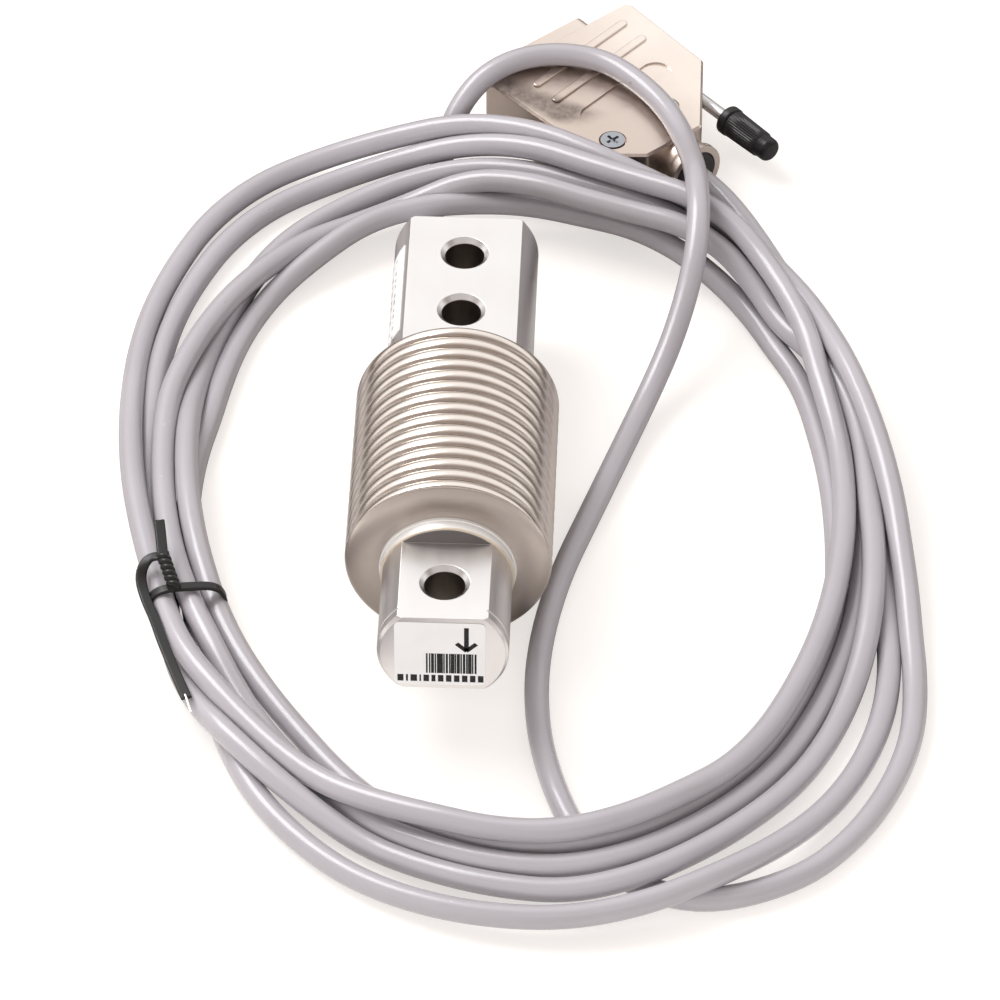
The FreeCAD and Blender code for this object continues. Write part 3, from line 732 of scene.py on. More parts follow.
@dataclass
class Studio:
    """White floor, soft lamps, surroundings and the camera."""

    azimuth_deg: float = 1.95
    elevation_deg: float = 42.83
    distance: float = 1.4716
    lens_mm: float = 254.4
    sensor_mm: float = 36.0
    roll_deg: float = 0.18
    target: Point = (0.00902, 0.00678, 0.0)
    floor_half: float = 4.0
    floor_colour: Colour = (0.50, 0.482, 0.468)
    floor_far_colour: Colour = (0.10, 0.09, 0.085)
    floor_tint: Colour = (1.0, 0.97, 0.94)
    floor_sheet: Flat = (0.20, 0.32)
    floor_mirrored: Flat = (0.14, 0.24)
    floor_glow: Flat = (0.62, 1.0)
    floor_front_y: Flat = (-0.068, -0.048)
    floor_front_mirrored: float = 0.70
    key_power: float = 14.0
    fill_power: float = 8.0
    side_power: float = 2.5
    lamp_target: Point = (0.0, 0.0, 0.02)
    side_reach: float = 0.9
    side_levels: Flat = (1.05, 0.95)
    walls: tuple[Flat, ...] = (
        (0.0, 0.80), (20.0, 0.75), (32.0, 0.40), (44.5, 0.32),
        (46.5, 1.00), (59.0, 1.00), (64.0, 0.34), (72.0, 0.30),
        (80.0, 0.36), (92.0, 0.54), (103.0, 0.88), (110.0, 1.20),
        (150.0, 1.20), (160.0, 0.90), (168.0, 0.40), (180.0, 0.20),
    )
    wall_warmth: Flat = (0.24, 0.38)

    def build(self) -> None:
        """Make the floor, the surroundings, the lamps and the camera, and set the view."""
        bpy.context.scene.view_settings.view_transform = "Standard"
        self.floor()
        self.surroundings()
        self.lamp("key_softbox", (-0.75, 0.55, 1.25), (0.8, 0.8), self.key_power)
        self.lamp("fill_softbox", (-0.55, -1.25, 0.45), (0.9, 0.6), self.fill_power, mirrored=False)
        self.lamp("side_softbox", (1.2, -0.8, 0.40), (0.7, 0.5), self.side_power, mirrored=False)
        self.camera()

    def floor(self) -> None:
        """Pale sheet on a dim table top, white to the camera, that keeps the shadows."""
        bm = bmesh.new()
        bmesh.ops.create_grid(bm, x_segments=1, y_segments=1, size=self.floor_half)
        floor = new_piece(bm, "studio_floor", UNMOVED)
        material = bpy.data.materials.new("studio_floor")
        material.use_nodes = True
        material.node_tree.nodes.clear()
        nodes = Nodes(material.node_tree)
        ray = nodes.add("LightPath").outputs
        reach = nodes.add("VectorMath", {0: nodes.place}, operation="LENGTH").outputs["Value"]
        far = nodes.spread(reach, self.floor_sheet)
        beyond = nodes.calc("MULTIPLY", ray["Is Glossy Ray"], nodes.spread(reach, self.floor_mirrored))
        dim = nodes.calc("MAXIMUM", far, beyond)
        tone = nodes.blend(dim, self.floor_colour, self.floor_far_colour)
        paper = nodes.add("BsdfDiffuse", {"Color": tone})
        shown = nodes.spread(far, (0.0, 1.0), self.floor_glow, "LINEAR")
        front = nodes.spread(nodes.axis("Y"), self.floor_front_y, (self.floor_front_mirrored, 0.0), "LINEAR")
        mirrored = nodes.calc("MULTIPLY", ray["Is Glossy Ray"], front)
        level = nodes.calc("MULTIPLY_ADD", ray["Is Camera Ray"], shown, mirrored)
        glow = nodes.add("Emission", {"Color": (*self.floor_tint, 1.0), "Strength": level})
        both = nodes.add("AddShader", {0: paper.outputs["BSDF"], 1: glow.outputs["Emission"]})
        nodes.add("OutputMaterial", {"Surface": both.outputs["Shader"]})
        floor.data.materials.append(material)

    def surroundings(self) -> None:
        """Studio walls by the angle over the object from front to back, white where the camera sees them."""
        world = bpy.data.worlds.new("studio")
        bpy.context.scene.world = world
        world.use_nodes = True
        world.node_tree.nodes.clear()
        nodes = Nodes(world.node_tree, "Generated")
        front = nodes.calc("MULTIPLY", nodes.axis("Y"), -1.0)
        over = nodes.calc("ARCTAN2", nodes.axis("Z"), front)
        walls = nodes.add("ValToRGB", {"Fac": nodes.calc("DIVIDE", over, math.pi)})
        ramp = walls.color_ramp
        while len(ramp.elements) < len(self.walls):
            ramp.elements.new(0.5)
        for element, (degrees, value) in zip(ramp.elements, self.walls):
            element.position = degrees / 180.0
            dim = max(0.0, 1.0 - value)
            green, blue = (value * (1.0 - warmth * dim) for warmth in self.wall_warmth)
            element.color = (value, green, blue, 1.0)
        side = nodes.spread(nodes.axis("X"), (-self.side_reach, self.side_reach), self.side_levels)
        studio = nodes.add("Background", {"Color": walls.outputs["Color"], "Strength": side})
        white = nodes.add("Background", {"Color": (1.0, 1.0, 1.0, 1.0)})
        ray = nodes.add("LightPath").outputs["Is Camera Ray"]
        sides = {1: studio.outputs["Background"], 2: white.outputs["Background"]}
        either = nodes.add("MixShader", {"Fac": ray, **sides})
        nodes.add("OutputWorld", {"Surface": either.outputs["Shader"]})

    def lamp(self, name: str, place: Point, size: Flat, power: float, mirrored: bool = True) -> None:
        """Rectangular softbox aimed at the object.

        Args:
            name: Name of the lamp.
            place: Its centre.
            size: Width and height.
            power: Power in watts.
            mirrored: Whether it shows in reflections.
        """
        light = bpy.data.lights.new(name, "AREA")
        light.shape = "RECTANGLE"
        light.size, light.size_y = size
        light.energy = power
        lamp = linked(name, light)
        aim = Vector(self.lamp_target) - Vector(place)
        lamp.matrix_world = Matrix.Translation(place) @ aim.to_track_quat("-Z", "Y").to_matrix().to_4x4()
        lamp.visible_glossy = mirrored

    def camera(self) -> None:
        """Camera at the photograph's place."""
        lens = bpy.data.cameras.new("photo_camera")
        lens.sensor_width = self.sensor_mm
        lens.lens = self.lens_mm
        camera = linked("photo_camera", lens)
        azimuth = math.radians(self.azimuth_deg)
        elevation = math.radians(self.elevation_deg)
        level = math.cos(elevation)
        back = Vector((math.sin(azimuth) * level, -math.cos(azimuth) * level, math.sin(elevation)))
        turn = (-back).to_track_quat("-Z", "Y") @ Quaternion((0.0, 0.0, 1.0), math.radians(self.roll_deg))
        place = Vector(self.target) + back * self.distance
        camera.matrix_world = Matrix.Translation(place) @ turn.to_matrix().to_4x4()
        bpy.context.scene.camera = camera


@dataclass
class PlugPlace:
    """Where the plug lies: its own frame has the mating side towards +Y and the floor at Z = 0."""

    angle_deg: float = 42.0
    front_x: float = 16.5
    front_y: float = 141.7
    axis_height: float = 7.0
    thickness: float = 14.0
    rim_drop: float = 0.8
    screw_x: float = 16.65
    knob_flange_radius: float = 3.35
    left_knob: Flat = (-58.0, -36.0)
    outline: tuple[Flat, ...] = (
        (-21.0, 0.0), (21.0, 0.0), (20.3, -26.2), (5.2, -43.0), (-10.4, -43.0), (-19.4, -35.4)
    )

    def matrix(self) -> Matrix:
        """Transform from the plug's own frame in millimetres to the frame in metres."""
        turn = Matrix.Rotation(math.radians(self.angle_deg), 4, "Z")
        return TO_METRES @ Matrix.Translation((self.front_x, self.front_y, 0.0)) @ turn

    def local(self, points: np.ndarray) -> tuple[np.ndarray, np.ndarray]:
        """Points of the frame, in millimetres, as x and y in the plug's own frame."""
        turn = math.radians(self.angle_deg)
        east = points[:, 0] - self.front_x
        north = points[:, 1] - self.front_y
        return east * math.cos(turn) + north * math.sin(turn), north * math.cos(turn) - east * math.sin(turn)


@dataclass
class Coil:
    """Five loose turns of the cable, given by lanes that are then settled under gravity onto each other.

    A lane is the turn's radius about the coil's centre every 20 degrees, starting at 60 degrees before +X.
    A lift is a stretch of the coil that rides over something: its first and last degree and its height.
    """

    centre_x: float = 12.0
    first_deg: float = -60.0
    last_deg: float = 1830.0
    lane_step: float = 20.0
    sample_step: float = 2.5
    radius: float = 2.5
    lanes: tuple[tuple[float, ...], ...] = (
        (119.5, 106.0, 86.0, 77.5, 77.0, 81.5, 91.0, 100.0, 116.5),
        (118.5, 102.0, 86.5, 78.5, 77.0, 82.5, 88.5, 96.5, 101.5),
        (91.0, 78.5, 71.0, 68.5, 71.0, 78.5, 90.0, 96.0, 112.0),
        (111.0, 96.0, 82.0, 75.5, 75.0, 84.0, 93.0, 102.5, 113.0),
        (102.0, 89.0, 79.0, 74.0, 75.5, 79.5, 86.0, 88.0, 96.5),
        (92.5, 85.0, 77.5, 72.5, 72.0, 76.0, 85.0, 99.0, 107.0),
        (96.0, 83.0, 74.5, 72.0, 73.5, 79.5, 88.5, 95.0, 105.0),
        (100.0, 83.0, 73.0, 67.5, 67.0, 70.5, 78.5, 94.0, 101.0),
        (90.5, 79.5, 72.0, 68.0, 69.5, 75.0, 83.5, 90.5, 96.0),
        (91.0, 80.0, 70.5, 67.5, 69.5, 78.5, 97.0, 113.0, 119.0),
        (112.0, 98.0, 83.0, 75.5, 76.5, 86.0),
    )
    lifts: tuple[Point, ...] = (
        (16.0, 26.0, 7.6), (68.0, 84.0, 13.0), (172.0, 385.0, 7.0), (264.0, 286.0, 12.4),
        (402.0, 418.0, 10.8), (428.0, 446.0, 17.4), (586.0, 598.0, 7.4), (632.0, 650.0, 7.6),
        (700.0, 745.0, 7.0), (788.0, 806.0, 16.0), (840.0, 930.0, 7.0), (990.0, 1006.0, 7.4),
        (1150.0, 1164.0, 12.0), (1250.0, 1300.0, 7.2), (1352.0, 1372.0, 7.6), (1540.0, 1550.0, 7.6),
        (1712.0, 1732.0, 7.6),
    )
    lift_run_deg: float = 28.0
    tie_deg: float = 203.5
    tie_reach_deg: float = 30.0
    tie_give: float = 0.08
    kept_share: float = 0.95
    contact: float = 5.1
    near: float = 8.0
    neighbours: int = 8
    join_samples: int = 16
    rounds: int = 300
    sinking_share: float = 0.85
    sink: float = 0.04
    search_every: int = 12
    pushes: int = 3
    push_share: float = 0.9
    points_every: int = 3

    def between(self, values: np.ndarray, places: np.ndarray) -> np.ndarray:
        """Values at fractional places of a list, on a smooth curve through the list.

        Args:
            values: The list.
            places: Places in it, from 0.

        Returns:
            The values there.
        """
        last = len(values) - 1
        low = np.clip(np.floor(places).astype(int), 0, last - 1)
        share = places - low
        before = values[np.clip(low - 1, 0, last)]
        start = values[low]
        end = values[low + 1]
        after = values[np.clip(low + 2, 0, last)]
        slope = end - before
        bend = 2 * before - 5 * start + 4 * end - after
        twist = 3 * start - before - 3 * end + after
        return start + 0.5 * (slope * share + bend * share**2 + twist * share**3)

    def laid(self) -> np.ndarray:
        """Points on the lanes at the heights of the lifts, before anything settles."""
        degrees = np.arange(self.first_deg, self.last_deg + 0.01, self.sample_step)
        lanes = np.array([value for row in self.lanes for value in row])
        radii = self.between(lanes, (degrees - self.first_deg) / self.lane_step)
        heights = np.full(len(degrees), self.radius)
        for first, last, height in self.lifts:
            away = np.maximum(np.maximum(first - degrees, degrees - last), 0.0) / self.lift_run_deg
            rise = np.clip(1.0 - away, 0.0, 1.0)
            heights = np.maximum(heights, self.radius + (height - self.radius) * rise**2 * (3.0 - 2.0 * rise))
        angles = np.radians(degrees)
        return np.stack([self.centre_x + radii * np.cos(angles), radii * np.sin(angles), heights], axis=1)

    def ridden(self, points: np.ndarray, line: Sequence[Point]) -> np.ndarray:
        """Lowest height of the cable's centre over a line of cable that it rides on.

        Args:
            points: Places of the coil.
            line: Points of the cable underneath.

        Returns:
            The height at each place, and the floor's where the line is out of reach.
        """
        low = np.full(len(points), self.radius)
        for first, second in zip(line, line[1:]):
            begin = np.array(first)
            run = np.array(second) - begin
            share = np.clip(((points[:, :2] - begin[:2]) @ run[:2]) / (run[:2] @ run[:2]), 0.0, 1.0)
            near = begin + share[:, None] * run
            off = ((points[:, :2] - near[:, :2]) ** 2).sum(axis=1)
            arch = near[:, 2] + np.sqrt(np.maximum(self.contact**2 - off, 0.0))
            low = np.where(off < self.contact**2, np.maximum(low, arch), low)
        return low

    def ground(self, points: np.ndarray, plug: PlugPlace, lead: Sequence[Point]) -> np.ndarray:
        """Lowest height of the cable's centre over the floor, the lead, the left knob and the hood.

        Args:
            points: Places of the coil.
            plug: Where the plug lies.
            lead: Points of the lead where it passes under the coil behind the load cell.

        Returns:
            The height at each place.
        """
        low = self.ridden(points, lead)
        across, along = plug.local(points)
        knob_reach = plug.knob_flange_radius + self.radius
        off = np.abs(across + plug.screw_x)
        on_knob = (along > plug.left_knob[0]) & (along < plug.left_knob[1]) & (off < knob_reach)
        arch = plug.axis_height + np.sqrt(np.maximum(knob_reach**2 - off**2, 0.0))
        low = np.where(on_knob, np.maximum(low, arch), low)
        inside = np.full(len(points), math.inf)
        corners = plug.outline
        for (x0, y0), (x1, y1) in zip(corners, corners[1:] + corners[:1]):
            run = math.hypot(x1 - x0, y1 - y0)
            inside = np.minimum(inside, ((across - x0) * (y1 - y0) - (along - y0) * (x1 - x0)) / run)
        rim = plug.thickness - plug.rim_drop + np.sqrt(np.maximum(self.radius**2 - inside**2, 0.0))
        beside = np.where(inside > -self.radius, rim, 0.0)
        return np.maximum(low, np.where(inside > 0.0, plug.thickness + self.radius, beside))

    def settled(
        self, plug: PlugPlace, lead: Sequence[Point], start: Sequence[Point], end: Sequence[Point]
    ) -> np.ndarray:
        """Let the turns sink until they rest on the floor, the plug, the lead, the tail and each other.

        Args:
            plug: Where the plug lies.
            lead: Points of the lead where it passes under the coil behind the load cell.
            start: Points of the lead where it runs into the coil.
            end: Points of the tail.

        Returns:
            Places along the coil, a few degrees apart.
        """
        places = self.laid()
        count = len(places)
        number = np.arange(count)
        free = ((number > 1) & (number < count - 2))[:, None]
        shift = np.zeros_like(places)
        from_tie = (self.first_deg + self.sample_step * number - self.tie_deg + 180.0) % 360.0 - 180.0
        kept = self.kept_share - self.tie_give * np.exp(-((from_tie / self.tie_reach_deg) ** 2))[:, None]
        for turn in range(self.rounds):
            if turn % self.search_every == 0:
                now = places + shift
                gaps = ((now[:, None] - now[None]) ** 2).sum(axis=2)
                first, second = np.where(np.triu(gaps < self.near**2, self.neighbours))
            shift[:, :2] *= kept
            if turn < self.sinking_share * self.rounds:
                shift[:, 2] -= self.sink
            smooth = shift.copy()
            smooth[1:-1] = 0.5 * shift[1:-1] + 0.25 * (shift[:-2] + shift[2:])
            now = places + np.where(free, smooth, 0.0)
            for _ in range(self.pushes):
                apart = now[first] - now[second]
                reach = np.maximum(np.sqrt((apart**2).sum(axis=1)), 1e-6)
                overlap = np.maximum(self.contact - reach, 0.0)
                push = apart * (0.5 * overlap / reach)[:, None]
                touching = overlap > 0.0
                hits = np.bincount(first, touching, count) + np.bincount(second, touching, count)
                moved = [
                    np.bincount(first, push[:, axis], count) - np.bincount(second, push[:, axis], count)
                    for axis in range(3)
                ]
                step = self.push_share * np.stack(moved, axis=1) / np.maximum(hits, 1)[:, None]
                now = now + np.where(free, step, 0.0)
                rest = self.ground(now, plug, lead)
                joins = ((number < self.join_samples, start), (number >= count - self.join_samples, end))
                for at_join, line in joins:
                    rest = np.where(at_join, rest, np.maximum(rest, self.ridden(now, line)))
                now[:, 2] = np.where(free[:, 0], np.maximum(now[:, 2], rest), now[:, 2])
            shift = now - places
        return places + shift


@dataclass
class Cable:
    """The whole cable: lead from the load cell, coil and tail into the plug, on one smooth line."""

    dresser: Dresser
    plug: PlugPlace
    diameter: float = 5.0
    length_m: float = 3.5
    exit: Point = (-9.2, 65.2, 21.0)
    lead_route: tuple[Point, ...] = (
        (-9.2, 60.6, 21.0), (-9.2, 68.4, 20.6), (-9.3, 74.8, 15.6), (-9.4, 79.8, 8.6),
        (-9.2, 86.6, 3.2), (-8.6, 98.6, 2.5), (-7.8, 110.4, 3.2), (-5.8, 118.6, 8.6),
        (-1.2, 125.2, 13.8), (5.8, 130.4, 16.4), (15.4, 133.4, 17.0), (26.6, 131.8, 17.0),
        (35.0, 124.4, 17.0), (41.2, 115.6, 17.0), (44.8, 106.4, 17.4), (46.8, 96.4, 20.0),
        (48.2, 85.6, 23.4), (48.9, 74.8, 23.2), (48.7, 65.6, 20.0), (46.8, 56.6, 14.6),
        (43.8, 47.0, 9.4), (40.2, 37.6, 5.8), (35.8, 25.6, 3.3), (28.6, 2.6, 2.6),
        (21.8, -19.6, 2.55), (18.3, -42.0, 2.55), (18.8, -61.6, 2.55), (22.2, -78.0, 2.55),
        (28.0, -93.4, 2.55),
    )
    into_coil: tuple[Point, ...] = ((37.0, -105.0, 2.55), (53.0, -111.0, 2.55))
    tail_route: tuple[Point, ...] = (
        (74.3, 59.0, 2.55), (70.5, 68.6, 2.6), (66.6, 77.4, 2.9), (62.2, 86.0, 4.0),
        (57.4, 93.6, 5.8), (51.8, 101.0, 7.0), (45.6, 107.9, 7.0),
    )

    def build(self) -> Piece:
        """Lay the cable and return it."""
        coil = Coil(radius=self.diameter / 2)
        under = self.lead_route[3:9]
        start = self.lead_route[-4:] + self.into_coil
        turns = coil.settled(self.plug, under, start, self.tail_route)[:: coil.points_every]
        route = [*self.lead_route, *self.into_coil, *turns.tolist(), *self.tail_route]
        line = bpy.data.curves.new("cable", "CURVE")
        line.dimensions = "3D"
        spline = line.splines.new("NURBS")
        spline.points.add(len(route) - 1)
        for point, place in zip(spline.points, route):
            point.co = (*(MM * value for value in place), 1.0)
        spline.order_u = 3
        spline.use_endpoint_u = True
        line.bevel_depth = MM * self.diameter / 2
        line.bevel_resolution = 6
        line.resolution_u = 6
        line.use_fill_caps = True
        cable = linked("cable", line)
        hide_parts("cable_lead", "cable_coil", "cable_tail")
        return self.dresser.wear(cable, Body.CELL, Slot.CABLE_GREY, CableJacket())

    def declare(self) -> None:
        """Turn the cable's exit point into metres, and use it nowhere."""
        tuple(MM * value for value in self.exit)


@dataclass
class CoilTie:
    """Flat two-core tie: a band round the turns, a twisted knot, a short end and a long end with a tip."""

    dresser: Dresser
    middle: Flat = (-52.6, -33.2)
    middle_reach: float = 72.0
    angle_deg: float = 192.0
    width: float = 2.3
    thickness: float = 0.85
    web_share: float = 0.6
    band: tuple[Flat, ...] = (
        (70.0, 0.4), (67.4, 0.7), (65.0, 3.2), (64.8, 7.4), (66.8, 10.2),
        (71.4, 10.9), (77.6, 11.2), (80.8, 9.0), (80.0, 3.6), (76.4, 0.4),
    )
    knot_start: Point = (-55.6, -34.6, 11.6)
    knot_end: Point = (-58.6, -26.6, 13.4)
    knot_turns: float = 3.1
    knot_steps: int = 22
    knot_radius: float = 0.72
    strand_radius: float = 0.78
    short_end: tuple[Point, ...] = ((-58.6, -26.8, 13.4), (-59.1, -22.9, 14.4), (-59.8, -18.9, 15.6))
    long_end: tuple[Point, ...] = (
        (-58.7, -27.2, 13.3), (-60.5, -26.6, 13.1), (-62.4, -28.0, 12.0), (-63.0, -30.8, 10.4),
        (-61.5, -35.6, 9.2), (-59.1, -42.0, 9.6), (-57.5, -47.3, 9.6), (-54.9, -53.9, 8.8),
        (-52.9, -58.9, 8.2), (-51.4, -62.8, 8.2),
    )
    tip: tuple[Point, ...] = ((-51.7, -62.0, 8.2), (-51.0, -64.2, 8.2), (-50.3, -66.4, 8.1))
    tip_radius: float = 0.35

    def section(self) -> list[Flat]:
        """Section of the flat ribbon: two round cores with a web between them."""
        half = self.width / 2
        core = self.thickness / 2
        right = arc((half - core, 0.0), (core, core), -90.0, 90.0, 6)
        left = arc((core - half, 0.0), (core, core), 90.0, 270.0, 6)
        web = self.web_share * core
        return [*right, (0.0, web), *left, (0.0, -web)]

    def ring(self, radius: float) -> list[Flat]:
        """Round section."""
        return arc((0.0, 0.0), (radius, radius), 0.0, 330.0, 11)

    def band_route(self) -> list[Point]:
        """Points of the band in the upright plane across the turns."""
        turn = math.radians(self.angle_deg)
        x, y = self.middle
        route = []
        for reach, height in self.band:
            off = reach - self.middle_reach
            route.append((x + off * math.cos(turn), y + off * math.sin(turn), height))
        return route

    def twisted(self, phase: float) -> list[Point]:
        """Helix of one of the knot's two strands, which starts at a phase in radians."""
        start = Vector(self.knot_start)
        line = Vector(self.knot_end) - start
        side = line.cross(Vector((0.0, 0.0, 1.0))).normalized()
        rise = side.cross(line).normalized()
        route = []
        for step in range(self.knot_steps + 1):
            share = step / self.knot_steps
            angle = phase + math.tau * self.knot_turns * share
            off = side * math.cos(angle) + rise * math.sin(angle)
            route.append(tuple(start + line * share + off * self.knot_radius))
        return route

    def build(self) -> list[Piece]:
        """Make the tie and its bare tip, and return both."""
        ribbon = self.section()
        parts = [swept(self.band_route(), ribbon, cyclic=True)]
        parts += [swept(self.twisted(phase), self.ring(self.strand_radius)) for phase in (0.0, math.pi)]
        parts += [swept(end, ribbon) for end in (self.short_end, self.long_end)]
        tie = new_piece(joined(parts), "wire_tie")
        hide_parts("coil_tie")
        self.dresser.wear(tie, Body.CELL, Slot.TIE_BLACK, TIE_BLACK)
        tip = new_piece(swept(self.tip, self.ring(self.tip_radius)), "wire_tie_tip")
        return [tie, self.dresser.wear(tip, Body.CELL, Slot.SCREW_ZINC, WIRE_SILVER)]


@dataclass
class Bellows:
    """Convoluted steel sleeve: low round crowns, narrow grooves, domed ends and welded necks."""

    dresser: Dresser
    axis_height: float = 21.0
    ridge_count: int = 15
    pitch: float = 3.324
    first_ridge_y: float = 12.64
    ridge_radius: float = 21.0
    crown_slope_deg: float = 40.0
    slit_half: float = 0.06
    brim_slope_deg: float = 14.0
    groove_radius: float = 18.2
    front_neck_radius: float = 14.4
    front_bar_radius: float = 13.2
    front_neck: tuple[Flat, ...] = (
        (0.80, -36.35), (0.76, -36.5), (0.68, -37.05), (0.50, -37.12),
        (0.46, -37.3), (0.36, -39.0), (0.24, -39.25), (0.0, -39.3),
    )
    rear_neck_radius: float = 16.4
    rear_bar_radius: float = 15.2
    rear_neck_y: float = 16.8
    dome_depth: float = 2.35
    rear_dome_deg: float = 86.0
    front_dome_deg: float = 84.0
    neck_round: float = 0.35
    inner_radius: float = 17.2
    inner_neck: float = 1.2
    steps: int = 144
    sharp_deg: float = 50.0

    def profile(self) -> list[Flat]:
        """Closed section of the sleeve as (radius, y) points, from the rear neck forwards and back inside."""
        ridges = [self.first_ridge_y - self.pitch * number for number in range(self.ridge_count)]
        rear = ridges[0]
        front = ridges[-1]
        gap = self.slit_half
        slope = self.crown_slope_deg
        crown = (self.pitch / 2 - gap) / math.sin(math.radians(slope))
        crown_centre = self.ridge_radius - crown
        groove_centre = self.groove_radius + gap
        turn = self.neck_round
        section = [(self.rear_bar_radius, self.rear_neck_y)]
        section += arc((self.rear_neck_radius - turn, self.rear_neck_y - turn), (turn, turn), 90.0, 0.0, 3)
        reach = (self.ridge_radius - self.rear_neck_radius, self.dome_depth)
        section += arc((self.rear_neck_radius, rear), reach, self.rear_dome_deg, 0.0, 12)
        for y in ridges:
            if y != rear:
                section += arc((crown_centre, y), (crown, crown), slope, 0.0, 6)
            if y != front:
                section += arc((crown_centre, y), (crown, crown), 0.0, -slope, 6)[1:]
                section += arc((groove_centre, y - self.pitch / 2), (-gap, gap), 90.0, -90.0, 4)
        brim = self.brim_slope_deg
        section += arc((crown_centre, front), (crown, crown), 0.0, -brim, 3)[1:]
        radius, y = section[-1]
        reach = (radius - self.front_neck_radius, y - front + self.dome_depth)
        start = math.atan(math.tan(math.radians(brim)) * reach[1] / reach[0])
        centre = (radius - reach[0] * math.cos(start), y + reach[1] * math.sin(start))
        section += arc(centre, (reach[0], -reach[1]), math.degrees(start), self.front_dome_deg, 14)[1:]
        section += [(self.front_bar_radius + rise, y) for rise, y in self.front_neck]
        section += [
            (self.front_bar_radius, front - self.inner_neck),
            (self.inner_radius, front),
            (self.inner_radius, rear),
            (self.rear_bar_radius, rear + self.inner_neck),
        ]
        return section

    def build(self) -> None:
        """Spin the sleeve."""
        bm = spun(self.profile(), (0.0, self.axis_height), self.steps, closed=True)
        sleeve = new_piece(bm, "bellows_sleeve", sharp_deg=self.sharp_deg)
        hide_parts("bellows")
        self.dresser.wear(sleeve, Body.CELL, Slot.BELLOWS_STEEL, BellowsSteel())


@dataclass
class FaceLabel:
    """White label on the front face with a plain arrow, a block of stripes and a row of plain fields."""

    dresser: Dresser
    axis_height: float = 21.0
    face_y: float = -61.25
    width: float = 18.2
    height: float = 17.0
    corner: float = 1.2
    thickness: float = 0.15
    ink_depth: float = 0.02
    shift_x: float = -0.55
    stripes_x: Flat = (-2.9, 7.4)
    stripes_y: Flat = (-5.3, 0.1)
    stripe_widths: tuple[float, ...] = (
        0.35, 0.3, 0.6, 0.3, 0.55, 0.7, 0.3, 0.45, 0.3, 0.75, 0.3, 0.65, 0.3, 0.5, 0.35, 0.7, 0.3, 0.4
    )
    arrow_x: float = 5.3
    arrow_y: Flat = (1.1, 7.3)
    arrow_width: float = 0.95
    barb_length: float = 2.9
    barb_off: Flat = (0.95, 0.85)
    barb_deg: float = 45.0
    field_row: float = -6.75
    field_height: float = 1.8
    field_gap: float = 0.5
    field_margin: float = 0.6
    field_widths: tuple[float, ...] = (1.2, 0.4, 1.3, 0.3, 1.1, 0.8, 1.1, 1.1, 1.1, 1.1, 1.1, 1.1)

    def plate(self) -> Shape:
        """The label's film with rounded corners."""
        bm = bmesh.new()
        bmesh.ops.create_grid(bm, x_segments=1, y_segments=1, size=0.5)
        bmesh.ops.scale(bm, vec=(self.width, self.height, 1.0), verts=bm.verts)
        bmesh.ops.bevel(
            bm,
            geom=bm.verts[:],
            offset=self.corner,
            offset_type="OFFSET",
            segments=6,
            profile=0.5,
            affect="VERTICES",
            material=-1,
        )
        grown = bmesh.ops.extrude_face_region(bm, geom=bm.faces[:])
        raised = [item for item in grown["geom"] if isinstance(item, bmesh.types.BMVert)]
        bmesh.ops.translate(bm, vec=(0.0, 0.0, self.thickness), verts=raised)
        bmesh.ops.recalc_face_normals(bm, faces=bm.faces)
        return bm

    def mark(self, size: Flat, centre: Flat, turn_deg: float = 0.0) -> Shape:
        """Thin printed bar on the label.

        Args:
            size: Width and height.
            centre: Place on the label, from its centre.
            turn_deg: Turn of the bar.

        Returns:
            The bar.
        """
        bm = bmesh.new()
        bmesh.ops.create_cube(bm, size=1.0)
        bmesh.ops.scale(bm, vec=(*size, 2 * self.ink_depth), verts=bm.verts)
        bmesh.ops.rotate(bm, matrix=Matrix.Rotation(math.radians(turn_deg), 3, "Z"), verts=bm.verts)
        bmesh.ops.translate(bm, vec=(*centre, self.thickness), verts=bm.verts)
        return bm

    def print(self) -> Shape:
        """All printed marks."""
        left, right = self.stripes_x
        low, high = self.stripes_y
        pitch = (right - left) / len(self.stripe_widths)
        marks = []
        for number, width in enumerate(self.stripe_widths):
            marks.append(self.mark((width, high - low), (left + pitch * (number + 0.5), (low + high) / 2)))
        tip, tail = self.arrow_y
        marks.append(self.mark((self.arrow_width, tail - tip), (self.arrow_x, (tail + tip) / 2)))
        for side in (-1.0, 1.0):
            barb = (self.arrow_x + side * self.barb_off[0], tip + self.barb_off[1])
            marks.append(self.mark((self.barb_length, self.arrow_width), barb, side * self.barb_deg))
        x = -self.width / 2 + self.field_margin
        for width in self.field_widths:
            marks.append(self.mark((width, self.field_height), (x + width / 2, self.field_row)))
            x += width + self.field_gap
        return joined(marks)

    def build(self) -> None:
        """Make the label and its print."""
        place = Matrix.Translation((self.shift_x, self.face_y, self.axis_height))
        upright = TO_METRES @ (place @ Matrix.Rotation(math.pi / 2, 4, "X"))
        film = new_piece(self.plate(), "front_label", upright)
        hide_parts("face_label")
        self.dresser.wear(film, Body.CELL, Slot.LABEL_WHITE, LabelStock("label_film"))
        marks = new_piece(self.print(), "front_label_print", upright)
        self.dresser.wear(marks, Body.CELL, Slot.LABEL_WHITE, Ink())


